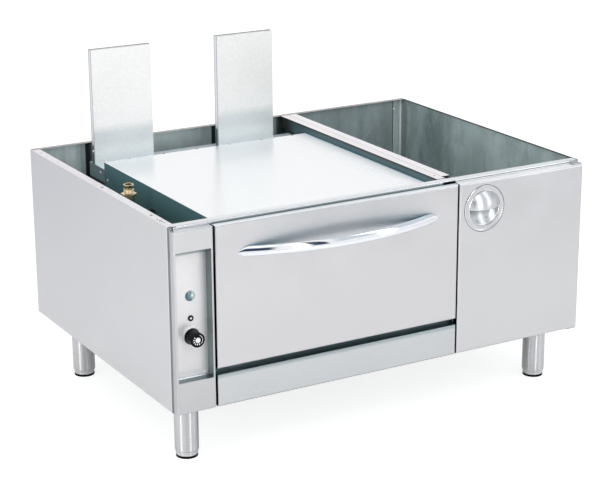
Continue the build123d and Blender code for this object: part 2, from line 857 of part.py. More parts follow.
def sight_glass():
    crown_radius = (sight_radius ** 2 + sight_dome ** 2) / (2 * sight_dome)
    rim = rod((control_x, plate_front_y, sight_z), (control_x, plate_front_y - sight_rim, sight_z), sight_radius)
    ball = Pos(control_x, plate_front_y - sight_rim - sight_dome + crown_radius, sight_z) * Sphere(crown_radius)
    column = rod((control_x, plate_front_y - sight_rim, sight_z),
                 (control_x, plate_front_y - sight_rim - 2 * sight_dome, sight_z), sight_radius)
    barrel = rod((control_x, plate_front_y, sight_z),
                 (control_x, plate_back_y + sight_barrel_length, sight_z), sight_barrel)
    return rim + (ball & column) + barrel


def rack_level_z(level):
    return floor_z + rack_first_level + level * rack_spacing


def side_racks():
    """Wire ladders on the two walls of the cavity that carry the shelf."""
    racks = []
    low_z = floor_z + seam
    high_z = rack_level_z(rack_levels - 1) + rack_head
    y_start = front_y + rack_front
    post_ys = (y_start + rack_post_inset, y_start + rack_length - rack_post_inset)
    for side, wall_x in ((1, cavity_left_x), (-1, cavity_right_x)):
        post_x = wall_x + side * (rack_wire + seam)
        runner_x = wall_x + side * rack_stand_off
        front_post, back_post = [rod((post_x, y, low_z), (post_x, y, high_z), rack_wire) for y in post_ys]
        rack = front_post + back_post
        for level in range(rack_levels):
            z = rack_level_z(level)
            rack += rod((runner_x, y_start, z), (runner_x, y_start + rack_length, z), rack_wire)
            for y in post_ys:
                rack += rod((post_x, y, z), (runner_x, y, z), rack_stub)
        racks.append(rack)
    return Compound(children=racks)


def wire_shelf():
    left = cavity_left_x + rack_stand_off
    right = cavity_right_x - rack_stand_off
    near = front_y + shelf_front
    far = near + shelf_depth
    z = rack_level_z(shelf_level) + rack_wire + shelf_wire + seam
    frame = RectangleRounded(right - left, far - near, shelf_corner)
    path = Pos((left + right) / 2, (near + far) / 2, z) * frame
    outline = path.wire()
    start = Plane(outline @ 0, z_dir=outline % 0)
    shelf = sweep(start * Circle(shelf_wire), path=outline)
    for index in range(1, shelf_rods + 1):
        x = left + index * (right - left) / (shelf_rods + 1)
        shelf += rod((x, near, z + shelf_rod), (x, far, z + shelf_rod), shelf_rod)
    for share in (1 / 3, 2 / 3):
        y = near + share * (far - near)
        shelf += rod((left, y, z), (right, y, z), shelf_bar)
    return shelf


def hinge_xs():
    """Centres of the oven door's two hinges."""
    return (door_left_x + hinge_inset, door_right_x - hinge_inset)


hinge_y = front_y - hinge_back
hinge_z = door_bottom_z + hinge_rise


def hinge_slots():
    """Slots in the door that clear the fixed ears while it swings."""
    slots = []
    for x in hinge_xs():
        slots.append(block((x - hinge_slot / 2, x + hinge_slot / 2),
                           (hinge_y - hinge_ear_radius - 2 * seam, front_y),
                           (door_bottom_z - seam, hinge_z + hinge_ear_radius + 2 * seam)))
    return slots


def oven_door_skin():
    skin = pan((door_left_x, door_right_x), (face_y, door_back_y), (door_bottom_z, door_top_z),
               sheet, door_bend, 1, HIGH)
    for slot in hinge_slots():
        skin -= slot
    for x in handle_screw_xs():
        skin -= rod((x, face_y - sheet, handle_z), (x, face_y + 2 * sheet, handle_z), handle_screw_radius + seam)
    return skin


def plug_limits(inset):
    """The step of the door that enters the oven mouth, drawn in by an inset."""
    return ((cavity_left_x + plug_play + inset, cavity_right_x - plug_play - inset),
            (floor_z + plug_play + inset, cavity_top_z - plug_play - inset))


def oven_door_inner():
    plug_x, plug_z = plug_limits(0)
    hollow_x, hollow_z = plug_limits(sheet)
    plate_y = (door_back_y - sheet, door_back_y)
    plate = block((door_left_x + sheet, door_right_x - sheet), plate_y,
                  (door_bottom_z + sheet, door_top_z - sheet))
    step = block(plug_x, (door_back_y - sheet, front_y + plug_depth), plug_z)
    step = fillet(step.faces().sort_by(Axis.Y)[-1].edges(), bend)
    hollow = block(hollow_x, (door_back_y - 2 * sheet, front_y + plug_depth - sheet), hollow_z)
    inner = plate + step - hollow
    for slot in hinge_slots():
        inner -= slot
    return inner


def oven_door_insulation():
    hollow_x, hollow_z = plug_limits(sheet)
    filling_y = (face_y + sheet + door_bend, door_back_y - sheet)
    wool = block((door_left_x + door_bend, door_right_x - door_bend), filling_y,
                 (door_bottom_z + hinge_arm_height + door_bend, door_top_z - door_bend))
    return wool + block(hollow_x, (filling_y[1] - sheet, front_y + plug_depth - sheet), hollow_z)


def oven_door_gasket():
    """Seal that meets the oven's front frame round the mouth."""
    inner_x, inner_z = plug_limits(-gasket_margin)
    outer_x, outer_z = plug_limits(-gasket_margin - gasket_width)
    y = (door_back_y, front_y - seam)
    return block(outer_x, y, outer_z) - block(inner_x, (y[0] - sheet, y[1] + sheet), inner_z)


handle_x = (door_left_x + door_right_x) / 2
handle_span = door_right_x - door_left_x - 2 * handle_inset
handle_z = door_top_z - handle_drop
handle_outer_bulge = handle_bulge + handle_depth / 2
handle_outer_arc = ((handle_span / 2) ** 2 + handle_outer_bulge ** 2) / (2 * handle_outer_bulge)
handle_arc = handle_outer_arc - handle_depth / 2


def handle_screw_xs():
    reach = handle_span / 2 - handle_screw_inset
    return (handle_x - reach, handle_x + reach)


def bow_handle():
    """A bar of oval section bent to one arc, with its ends cut flush to the door."""
    axis_y = face_y - handle_bulge + handle_arc
    half_angle = math.degrees(math.asin(handle_span / 2 / handle_arc)) + 4
    axis = Axis((handle_x, axis_y, handle_z), (0, 0, 1))
    section = Plane((handle_x, axis_y - handle_arc, handle_z), x_dir=(0, 1, 0), z_dir=(1, 0, 0)) * Ellipse(
        handle_depth / 2, handle_height / 2)
    bar = revolve(section.rotate(axis, -half_angle), axis, revolution_arc=2 * half_angle)
    bar -= block((handle_x - handle_span, handle_x + handle_span), (face_y, face_y + 2 * handle_span),
                 (handle_z - handle_height, handle_z + handle_height))
    for x in handle_screw_xs():
        bar -= rod((x, face_y + seam, handle_z), (x, face_y - handle_screw_depth - seam, handle_z),
                   handle_screw_radius + seam)
    return bar


def handle_screws():
    """Screws that come through the door skin into the handle's ends."""
    screws = []
    for x in handle_screw_xs():
        back_y = face_y + sheet
        screw = rod((x, back_y, handle_z), (x, face_y - handle_screw_depth, handle_z), handle_screw_radius)
        screw += rod((x, back_y, handle_z), (x, back_y + door_bend - sheet, handle_z), 2 * handle_screw_radius)
        screws.append(screw)
    return Compound(children=screws)


def door_hinge_brackets():
    """Fixed ears with their pins, one on each side below the oven mouth."""
    brackets = []
    for x in hinge_xs():
        half_pin = hinge_pin_length / 2
        plate = block((x - hinge_plate_width / 2, x + hinge_plate_width / 2), (front_y - hinge_plate, front_y),
                      (hinge_z - hinge_plate_drop, plug_limits(-gasket_margin - gasket_width)[1][0] - seam))
        ear_x = (x - hinge_ear / 2, x + hinge_ear / 2)
        ear = block(ear_x, (hinge_y, front_y - hinge_plate),
                    (hinge_z - hinge_ear_radius, hinge_z + hinge_ear_radius))
        ear += rod((ear_x[0], hinge_y, hinge_z), (ear_x[1], hinge_y, hinge_z), hinge_ear_radius)
        pin = rod((x - half_pin, hinge_y, hinge_z), (x + half_pin, hinge_y, hinge_z), hinge_pin_radius)
        brackets.append(plate + ear + pin)
    return Compound(children=brackets)


def door_hinge_arms():
    """Forks inside the door that turn on the fixed pins."""
    arms = []
    for x in hinge_xs():
        half_width = hinge_arm_width / 2
        arm_back_y = door_back_y - sheet
        arm = block((x - half_width, x + half_width), (arm_back_y - hinge_arm_depth, arm_back_y),
                    (door_bottom_z + sheet, door_bottom_z + hinge_arm_height))
        arm -= rod((x - hinge_arm_width, hinge_y, hinge_z), (x + hinge_arm_width, hinge_y, hinge_z),
                   hinge_pin_radius + running)
        for slot in hinge_slots():
            arm -= slot
        arms.append(arm)
    return Compound(children=arms)


cup_x = cabinet_door_left_x + cup_inset
cup_z = door_top_z - cup_drop


def cabinet_door_skin():
    skin = pan((cabinet_door_left_x, right_x), (face_y, door_back_y), (cabinet_bottom_z, door_top_z),
               sheet, door_bend, 1, HIGH)
    skin -= rod((cup_x, face_y - sheet, cup_z), (cup_x, face_y + 2 * sheet, cup_z), cup_bowl_radius + sheet)
    skin -= rod((pivot_x, pivot_y, base_z - sheet), (pivot_x, pivot_y, rim_z), pivot_radius + 2 * seam)
    return skin


def cabinet_door_inner():
    return block((cabinet_door_left_x + sheet, right_x - sheet), (door_back_y - sheet, door_back_y),
                 (cabinet_bottom_z + sheet, door_top_z - sheet))


def cap(radius, height, thickness, side):
    """A shell in the form of a shallow cap on the face of the door, hollow (1) or proud (-1) of it."""
    ball_radius = (radius ** 2 + height ** 2) / (2 * height)
    centre_y = face_y + side * (height - ball_radius)
    ball = Pos(cup_x, centre_y, cup_z) * (Sphere(ball_radius) - Sphere(ball_radius - thickness))
    span = 2 * radius
    near, far = sorted((face_y, face_y + side * span))
    half = (cup_z - span, cup_z) if side > 0 else (cup_z, cup_z + span)
    return ball & block((cup_x - span, cup_x + span), (near, far), half)


def cup_pull():
    """Round pull with a hollow lower half and a hooded upper half that fingers reach behind."""
    edge = cup_rim_depth / 2
    rim = spun([(cup_bowl_radius - cup_sheet, 0), (cup_radius, 0), (cup_radius, edge),
                (cup_radius - edge, cup_rim_depth), (cup_bowl_radius, cup_rim_depth),
                (cup_bowl_radius - cup_sheet, edge)], (cup_x, face_y, cup_z), (0, -1, 0))
    bowl = cap(cup_bowl_radius, cup_bowl_depth, cup_sheet, 1)
    hood = cap(cup_bowl_radius, cup_hood_height, cup_sheet, -1)
    backing = Pos(cup_x, face_y + cup_sheet / 2, cup_z) * extrude(
        Plane.XZ * Circle(cup_bowl_radius), amount=cup_sheet / 2, both=True)
    backing &= block((cup_x - cup_radius, cup_x + cup_radius), (face_y - cup_sheet, face_y + 2 * cup_sheet),
                     (cup_z, cup_z + cup_radius))
    return rim + bowl + hood + backing


pivot_x = right_x - pivot_inset
pivot_y = front_y - door_stand_off - pivot_back


def door_bushes():
    """Bushes in the top and bottom folds of the cabinet door."""
    bushes = []
    for z in (cabinet_bottom_z + sheet, door_top_z - sheet - pivot_bush_length):
        bushes.append(spun([(pivot_radius + running, 0), (pivot_bush_radius, 0),
                            (pivot_bush_radius, pivot_bush_length), (pivot_radius + running, pivot_bush_length)],
                           (pivot_x, pivot_y, z), (0, 0, 1)))
    return Compound(children=bushes)


def door_pivots():
    """Fixed plates above and below the cabinet door, each with its pin."""
    plate_x = (right_x - pivot_plate_width - sheet, right_x - sheet)
    plate_y = (pivot_y - pivot_bush_radius, front_y)
    pin_reach = sheet + pivot_bush_length
    leg_y = (front_y - sheet, front_y)
    top_z = door_top_z + pivot_gap
    top = block(plate_x, plate_y, (top_z, top_z + pivot_plate))
    top += block(plate_x, leg_y, (top_z, rim_z - sheet))
    top += rod((pivot_x, pivot_y, top_z), (pivot_x, pivot_y, top_z - pivot_gap - pin_reach), pivot_radius)
    low_z = cabinet_bottom_z - pivot_gap
    bottom = block(plate_x, plate_y, (low_z - pivot_plate, low_z))
    bottom += block(plate_x, leg_y, (low_z - pivot_plate, base_z + tray_lip))
    bottom += rod((pivot_x, pivot_y, low_z), (pivot_x, pivot_y, low_z + pivot_gap + pin_reach), pivot_radius)
    return Compound(children=[top, bottom])


def door_magnet():
    top_z = door_top_z - magnet_drop
    return block((wall_right_x, wall_right_x + magnet_width),
                 (door_back_y + strike_sheet + seam, front_y + 2 * magnet_width), (top_z - magnet_height, top_z))


def strike_plate():
    top_z = door_top_z - magnet_drop
    return block((wall_right_x, wall_right_x + 2 * magnet_width), (door_back_y, door_back_y + strike_sheet),
                 (top_z - magnet_height, top_z))


def leg_places():
    """Names of the four corners with the centres of their legs."""
    xs = {"left": left_x + leg_inset_x, "right": right_x - leg_inset_x}
    ys = {"front": front_y + leg_inset_front, "back": back_y - leg_inset_back}
    return {f"{row}_{side}": (xs[side], ys[row]) for row in ys for side in xs}


def leg(x, y):
    top_z = base_z - leg_plate
    tube = rod((x, y, foot_height), (x, y, top_z), leg_radius)
    tube = fillet(tube.edges().sort_by(Axis.Z)[0], leg_edge)
    tube -= rod((x, y, foot_height), (x, y, top_z), leg_radius - leg_wall)
    return tube + Pos(x, y, base_z - leg_plate / 2) * Box(leg_plate_width, leg_plate_width, leg_plate)


def insert_base_z():
    return foot_height + leg_wall


def leg_inserts():
    """Threaded plugs in the legs that the feet screw into."""
    inserts = []
    for x, y in leg_places().values():
        low_z = insert_base_z()
        plug = rod((x, y, low_z), (x, y, low_z + insert_height), leg_radius - leg_wall)
        inserts.append(plug - rod((x, y, low_z), (x, y, low_z + insert_height), foot_stem_radius + running))
    return Compound(children=inserts)


def foot(x, y):
    """A steel glide that narrows below the leg, with a pad under it and a stem that goes up into the leg."""
    top_z = foot_height - seam
    glide = spun([(0, 0), (foot_pad_radius, 0), (foot_pad_radius, foot_pad), (foot_radius, foot_pad),
                  (foot_radius, top_z - foot_taper), (foot_collar_radius, top_z), (0, top_z)],
                 (x, y, 0), (0, 0, 1))
    return glide + rod((x, y, top_z), (x, y, top_z + foot_stem_length), foot_stem_radius)


def screw(place, direction):
    """The pan head of a screw, seated on a face."""
    return spun([(0, 0), (screw_head_radius, 0), (screw_head_radius, screw_head_height - screw_edge),
                 (screw_head_radius - screw_edge, screw_head_height), (0, screw_head_height)],
                place, direction)


def panel_screws():
    """Screws on the left faces of the duct, the flue box and the casing, and on the rear posts."""
    left = (-1, 0, 0)
    screws = [
        screw((casing_left_x, (duct_front_y + duct_back_y) / 2, rim_z - duct_screw_drop), left),
        screw((casing_left_x, casing_back_y + box_screw_setback, ledge_z - box_screw_drop), left),
        screw((casing_left_x, casing_back_y - casing_screw_inset, ledge_z - casing_screw_drop), left),
    ]
    for x in (left_x + post_screw_inset, right_x - post_screw_inset):
        screws.append(screw((x, back_y - sheet - plating, rim_z - post_screw_drop), (0, -1, 0)))
    return Compound(children=screws)


nodes = {
    "left_side_panel": left_side_panel(),
    "right_side_panel": right_side_panel(),
    "back_panel": back_panel(),
    "base_tray": base_tray(),
    "front_rail": front_rail(),
    "cross_rail": cross_rail(),
    "cabinet_left_wall": cabinet_left_wall(),
    "corner_posts": corner_posts(),
    "control_panel": control_panel(),
    "plinth_panel": plinth_panel(),
    "oven_front_frame": oven_front_frame(),
    "oven_casing": oven_casing(),
    "oven_liner": oven_liner(),
    "oven_insulation": oven_insulation(),
    "oven_floor_plate": oven_floor_plate(),
    "flue_box": flue_box(),
    "left_flue_duct": flue_duct(duct_lefts()[0]),
    "right_flue_duct": flue_duct(duct_lefts()[1]),
    "burner": burner(),
    "gas_injector": gas_injector(),
    "pilot": pilot(),
    "gas_inlet_fitting": gas_inlet_fitting(),
    "gas_pipe": gas_pipe(),
    "pipe_bracket": pipe_bracket(),
    "thermostat_valve": thermostat_valve(),
    "burner_pipe": burner_pipe(),
    "thermostat_spindle": thermostat_spindle(),
    "thermostat_knob": thermostat_knob(),
    "knob_bezel": knob_bezel(),
    "igniter_button": igniter_button(),
    "igniter_body": igniter_body(),
    "sight_glass": sight_glass(),
    "side_racks": side_racks(),
    "wire_shelf": wire_shelf(),
    "oven_door_skin": oven_door_skin(),
    "oven_door_inner": oven_door_inner(),
    "oven_door_insulation": oven_door_insulation(),
    "oven_door_gasket": oven_door_gasket(),
    "bow_handle": bow_handle(),
    "handle_screws": handle_screws(),
    "door_hinge_brackets": door_hinge_brackets(),
    "door_hinge_arms": door_hinge_arms(),
    "cabinet_door_skin": cabinet_door_skin(),
    "cabinet_door_inner": cabinet_door_inner(),
    "cup_pull": cup_pull(),
    "door_bushes": door_bushes(),
    "door_pivots": door_pivots(),
    "door_magnet": door_magnet(),
    "strike_plate": strike_plate(),
    "leg_inserts": leg_inserts(),
    "panel_screws": panel_screws(),
}
for corner, (x, y) in leg_places().items():
    nodes[f"{corner}_leg"] = leg(x, y)
    nodes[f"{corner}_foot"] = foot(x, y)

for name, shape in nodes.items():
    export_step(shape, f"parts/{name}.step")
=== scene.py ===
import bmesh
import bpy
import json
import math
from mathutils import Matrix, Vector


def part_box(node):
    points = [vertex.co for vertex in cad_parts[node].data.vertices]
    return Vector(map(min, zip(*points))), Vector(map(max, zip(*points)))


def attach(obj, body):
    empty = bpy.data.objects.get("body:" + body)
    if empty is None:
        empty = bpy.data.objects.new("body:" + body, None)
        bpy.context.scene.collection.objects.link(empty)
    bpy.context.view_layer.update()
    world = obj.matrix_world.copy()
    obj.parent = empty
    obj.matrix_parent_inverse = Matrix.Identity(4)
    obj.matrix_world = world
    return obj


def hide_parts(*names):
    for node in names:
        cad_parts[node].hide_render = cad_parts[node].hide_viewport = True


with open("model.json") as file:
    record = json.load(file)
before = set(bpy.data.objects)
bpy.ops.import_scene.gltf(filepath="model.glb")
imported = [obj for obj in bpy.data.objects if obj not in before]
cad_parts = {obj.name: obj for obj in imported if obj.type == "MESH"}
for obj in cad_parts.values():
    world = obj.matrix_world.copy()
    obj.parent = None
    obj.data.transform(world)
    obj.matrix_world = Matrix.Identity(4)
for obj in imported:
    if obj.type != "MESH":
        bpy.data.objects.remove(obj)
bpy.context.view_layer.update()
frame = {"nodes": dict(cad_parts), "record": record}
nodes = frame["nodes"]

# The camera that the photograph was taken with, in metres, degrees and pixels
IMAGE_WIDTH = 614
FOCAL_PIXELS = 1788.3
SENSOR_WIDTH = 36.0
CAMERA_PLACE = (-2.3051, -3.97275, 1.8217)
CAMERA_AZIMUTH = -30.08
CAMERA_ELEVATION = 17.47
CAMERA_ROLL = -0.265
MM = 0.001

# Places taken from the frame
side_low, side_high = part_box("left_side_panel")
right_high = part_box("right_side_panel")[1]
back_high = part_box("back_panel")[1]
door_low, door_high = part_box("oven_door_skin")
cabinet_low, cabinet_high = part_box("cabinet_door_skin")
control_low, control_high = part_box("control_panel")
plinth_low, plinth_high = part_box("plinth_panel")
casing_low, casing_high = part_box("oven_casing")
duct_low, duct_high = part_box("left_flue_duct")
right_duct_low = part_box("right_flue_duct")[0]
rail_low, rail_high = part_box("cross_rail")
face_y = door_low.y
rim_z = side_high.z
front_y = side_low.y


def middle_of(name):
    low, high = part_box(name)
    return (low + high) / 2


# Helpers for materials
def set_input(socket, value):
    """Links a socket to a value, or writes the value when it is a constant."""
    if isinstance(value, bpy.types.NodeSocket):
        socket.id_data.links.new(value, socket)
    elif isinstance(value, tuple) and len(value) == 3 and socket.type == "RGBA":
        socket.default_value = (*value, 1)
    else:
        socket.default_value = value


def fill(node, **values):
    """Sets a node's inputs by name, with a low line for each space, and gives the node back."""
    for name, value in values.items():
        set_input(node.inputs[name.replace("_", " ")], value)
    return node


made = {}


def new_material(name):
    """Starts a material and keeps it under its name, as the frame has materials of some of the names."""
    made[name] = bpy.data.materials.new(name)
    made[name].use_nodes = True
    tree = made[name].node_tree
    return tree, tree.nodes["Principled BSDF"], tree.nodes.new("ShaderNodeTexCoord")


def noise(tree, place, scale, stretch, detail, roughness=0.55):
    """Noise that is drawn out along the axes where stretch is small."""
    mapping = fill(tree.nodes.new("ShaderNodeMapping"), Scale=stretch, Vector=place)
    texture = tree.nodes.new("ShaderNodeTexNoise")
    fill(texture, Scale=scale, Detail=detail, Roughness=roughness, Vector=mapping.outputs["Vector"])
    return texture.outputs["Fac"]


def ranged(tree, value, low, high, start=0.35, end=0.65):
    """The value's band from start to end, spread from low to high."""
    node = tree.nodes.new("ShaderNodeMapRange")
    fill(node, From_Min=start, From_Max=end, To_Min=low, To_Max=high, Value=value)
    return node.outputs["Result"]


def mixed(tree, factor, first, second, blend="MIX"):
    """A colour between two others."""
    node = tree.nodes.new("ShaderNodeMix")
    node.data_type = "RGBA"
    node.blend_type = blend
    return fill(node, Factor=factor, A=first, B=second).outputs["Result"]


def blended(tree, factor, first, second):
    """A number between two others."""
    return fill(tree.nodes.new("ShaderNodeMix"), Factor=factor, A=first, B=second).outputs["Result"]


def arithmetic(tree, operation, first, second):
    node = tree.nodes.new("ShaderNodeMath")
    node.operation = operation
    set_input(node.inputs[0], first)
    set_input(node.inputs[1], second)
    return node.outputs["Value"]


def zone_mask(tree, coordinates, tests):
    """One inside a zone and zero outside.

    A test is the axis, the side, the edge and how soft it is, in millimetres for a place. With n before
    the axis it tests which way a face looks.
    """
    result = None
    for axis, side, edge, softness in tests:
        looks = axis[0] == "n"
        parts = tree.nodes.new("ShaderNodeSeparateXYZ")
        fill(parts, Vector=coordinates.outputs["Normal" if looks else "Object"])
        half = softness / 2 * (1 if looks else MM)
        low, high = (0, 1) if side == ">" else (1, 0)
        step = ranged(tree, parts.outputs[axis[-1]], low, high, edge - half, edge + half)
        result = step if result is None else arithmetic(tree, "MULTIPLY", result, step)
    return result


def add_bump(tree, shader, height, strength, distance):
    bump = tree.nodes.new("ShaderNodeBump")
    fill(bump, Strength=strength, Distance=distance, Height=height)
    fill(shader, Normal=bump.outputs["Normal"])


def sheet_metal(name, tones, roughness, grain, grain_scale=900.0, bump=0.05, patch_scale=6.0,
                streaks=None, spangle=None, zones=(), metallic=1.0, near=None):
    """Metal sheet with grain and soft patches, and where told streaks, zinc crystals and zones.

    A zone is its tests, a tone, a roughness and, where it differs, how metallic it is. near is how close
    things shade the sheet, the tone of that shade and the tests for where it counts.
    """
    tree, shader, coordinates = new_material(name)
    place = coordinates.outputs["Object"]
    patches = noise(tree, place, patch_scale, (1, 1, 1), 4.0)
    lines = noise(tree, place, grain_scale, grain, 2.0)
    colour = mixed(tree, ranged(tree, patches, 0, 1, 0.32, 0.68), *tones)
    least, most = roughness
    rough = arithmetic(tree, "ADD", ranged(tree, patches, least / 2, most / 2),
                       ranged(tree, lines, least / 2, most / 2))
    for tests, tone, zone_roughness, *zone_metallic in zones:
        inside = zone_mask(tree, coordinates, tests)
        worn = tuple(0.7 * part for part in tone)
        colour = mixed(tree, inside, colour, mixed(tree, ranged(tree, patches, 0, 0.3), tone, worn))
        rough = blended(tree, inside, rough, zone_roughness)
        if zone_metallic:
            metallic = blended(tree, inside, metallic, zone_metallic[0])
    if streaks:
        scale, stretch, tone, strength, *limits = streaks
        for tests in limits:
            strength = arithmetic(tree, "MULTIPLY", zone_mask(tree, coordinates, tests), strength)
        marks = ranged(tree, noise(tree, place, scale, stretch, 5.0, 0.65), 0, 1, 0.4, 0.66)
        blotches = ranged(tree, noise(tree, place, scale * 0.45, (1, 1, 0.5), 4.0, 0.6), 0, 0.8, 0.45, 0.7)
        stain = arithmetic(tree, "MAXIMUM", marks, blotches)
        colour = mixed(tree, strength, colour, mixed(tree, stain, (1, 1, 1), tone), "MULTIPLY")
    if spangle:
        cells = fill(tree.nodes.new("ShaderNodeTexVoronoi"), Scale=spangle, Vector=place)
        edges = ranged(tree, cells.outputs["Distance"], 0, 1, 0.1, 0.6)
        grains = mixed(tree, edges, (1, 1, 1), (0.72, 0.76, 0.78))
        colour = mixed(tree, 0.22, colour, grains, "MULTIPLY")
    if near:
        distance, tone, tests = near
        closeness = fill(tree.nodes.new("ShaderNodeAmbientOcclusion"), Distance=distance)
        shade = ranged(tree, closeness.outputs["AO"], 1, 0, 0.45, 0.99)
        shade = arithmetic(tree, "MULTIPLY", shade, zone_mask(tree, coordinates, tests))
        colour = mixed(tree, shade, colour, tone)
    fill(shader, Metallic=metallic, Base_Color=colour, Roughness=rough)
    add_bump(tree, shader, lines, bump, 0.3 * MM)


def plain(name, first, second, roughness, metallic=0.0, scale=120.0, bump=0.05, coat=0.0, zones=(),
          gloss=0.5):
    """Paint, plastic, rubber or cast metal with a fine texture."""
    tree, shader, coordinates = new_material(name)
    texture = noise(tree, coordinates.outputs["Object"], scale, (1, 1, 1), 5.0)
    colour = mixed(tree, ranged(tree, texture, 0, 1), first, second)
    for tests, tone in zones:
        colour = mixed(tree, zone_mask(tree, coordinates, tests), colour, tone)
    fill(shader, Base_Color=colour, Roughness=ranged(tree, texture, *roughness), Metallic=metallic,
         Coat_Weight=coat, Specular_IOR_Level=gloss)
    add_bump(tree, shader, texture, bump, 0.4 * MM)


def turned(name, tones, roughness, spread, pad=None):
    """Tube polished round its girth, so that lights draw out along it. It is black below its pad."""
    tree, shader, coordinates = new_material(name)
    place = coordinates.outputs["Object"]
    tangent = tree.nodes.new("ShaderNodeTangent")
    tangent.direction_type = "RADIAL"
    tangent.axis = "Z"
    patches = noise(tree, place, 9.0, (1, 1, 0.3), 3.0)
    lines = noise(tree, place, 260.0, (0.02, 0.02, 1), 2.0)
    colour = mixed(tree, ranged(tree, patches, 0, 1), *tones)
    metallic, gloss = 1.0, 0.5
    if pad:
        below = zone_mask(tree, coordinates, [("Z", "<", pad, 0.4)])
        colour = mixed(tree, below, colour, (0.006, 0.007, 0.008))
        metallic = blended(tree, below, 1.0, 0.0)
        gloss = blended(tree, below, 0.5, 0.05)
    fill(shader, Base_Color=colour, Metallic=metallic, Specular_IOR_Level=gloss,
         Roughness=ranged(tree, lines, *roughness), Anisotropic=spread, Anisotropic_Rotation=0.25,
         Tangent=tangent.outputs["Tangent"])


# Grain, common tones, and streaks: the noise's size, how it is drawn out, the tone and the strength
ALONG_X = (0.02, 1, 1)
ALONG_Y = (1, 0.02, 1)
UPRIGHT = (1, 1, 0.02)
NO_GRAIN = (1, 1, 1)
ZINC = (0.54, 0.62, 0.61)
SHADE = (0.015, 0.025, 0.028)
# RIM is painted light: the rim's top lighter and pinker than the side
RIM = (0.80, 0.78, 0.81)
DOWN_THE_WALL = (20.0, (1, 1, 0.22), (0.56, 0.59, 0.59), 0.65)
BLOTCHED_WALL = (9.0, (1, 1, 0.5), (0.36, 0.41, 0.41), 0.8)

# Tests for zones: where a face looks, which skin of a sheet it is, and soft changes over large faces, which
# carry painted shade high on the doors and on the control recess
LOOKS_FRONT = ("nY", "<", -0.7, 0.2)
FLAT_FRONT = ("nY", "<", -0.8, 0.1)
LOOKS_LEFT = ("nX", "<", -0.7, 0.2)
LEFT_EDGE = ("nX", "<", -0.6, 0.2)
LOOKS_UP = ("nZ", ">", 0.8, 0.1)
TOP_FOLD = ("nZ", ">", 0.75, 0.2)
HALF_SHEET = 0.6 * MM
INNER_RIGHT = ("X", "<", right_high.x - HALF_SHEET, 0.2)
INNER_BACK = ("Y", "<", back_high.y - HALF_SHEET, 0.2)
HIGH_ON_CABINET = ("Z", ">", 0.39, 420)
HIGH_ON_DOOR = ("Z", ">", 0.44, 350)
HIGH_ON_CONTROL = ("Z", ">", 0.40, 200)
REAR_OF_LEFT_SIDE = [("Y", ">", 0.15, 700), ("Z", ">", 0.45, 500)]
REAR_OF_RIGHT_WALL = ("Y", ">", 0.26, 200)

handle_z = middle_of("bow_handle").z
cup_middle = middle_of("cup_pull")
lens_middle = middle_of("sight_glass")
post_x = right_high.x - 35.4 * MM
foot_pad_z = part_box("front_left_foot")[0].z + 6.4 * MM
recess_low_z, recess_high_z = control_low.z + 79 * MM, control_high.z - 53.5 * MM
recess_low_x, recess_high_x = control_low.x + 5.5 * MM, control_high.x - 5.5 * MM
recess_y = face_y + 30 * MM

# Painted shade on the folds of the doors and the plinth, where little light gets in
fold_tests = [("nY", ">", -0.35, 0.1), ("Y", ">", face_y + 1.6 * MM, 0.6), ("nZ", "<", 0.5, 0.1)]
left_fold_tests = [*fold_tests, ("nX", "<", -0.5, 0.1), ("Y", "<", face_y + 30 * MM, 1)]
painted_fold_shade = ((0.006, 0.008, 0.009), 0.5)

# The doors, brushed steel, with painted highlights along the edges by the gaps, painted light on the top
# returns, and painted shade high up, in the folds and above the handle
sheet_metal(
    "satin_front", ((0.658, 0.658, 0.663), (0.678, 0.678, 0.683)), (0.28, 0.31), ALONG_X, bump=0.006,
    zones=[([HIGH_ON_CABINET], (0.615, 0.615, 0.625), 0.3),
           ([FLAT_FRONT, ("X", "<", cabinet_low.x + 2.6 * MM, 0.8)], (0.90, 0.90, 0.91), 0.3),
           ([TOP_FOLD, ("Z", ">", cabinet_high.z - 3 * MM, 1)], (0.84, 0.84, 0.85), 0.4, 0.15),
           (left_fold_tests, *painted_fold_shade)])
sheet_metal(
    "door_steel", ((0.645, 0.64, 0.65), (0.665, 0.66, 0.67)), (0.28, 0.31), ALONG_X, bump=0.006,
    near=(0.09, (0.26, 0.335, 0.365), [("Z", ">", handle_z, 16)]),
    zones=[([HIGH_ON_DOOR], (0.625, 0.62, 0.63), 0.3),
           (fold_tests, *painted_fold_shade),
           ([FLAT_FRONT, ("X", ">", door_high.x - 2.6 * MM, 0.8)], (0.86, 0.86, 0.87), 0.3),
           ([TOP_FOLD, ("Z", ">", door_high.z - 3 * MM, 1)], (0.84, 0.88, 0.885), 0.4, 0.2)])
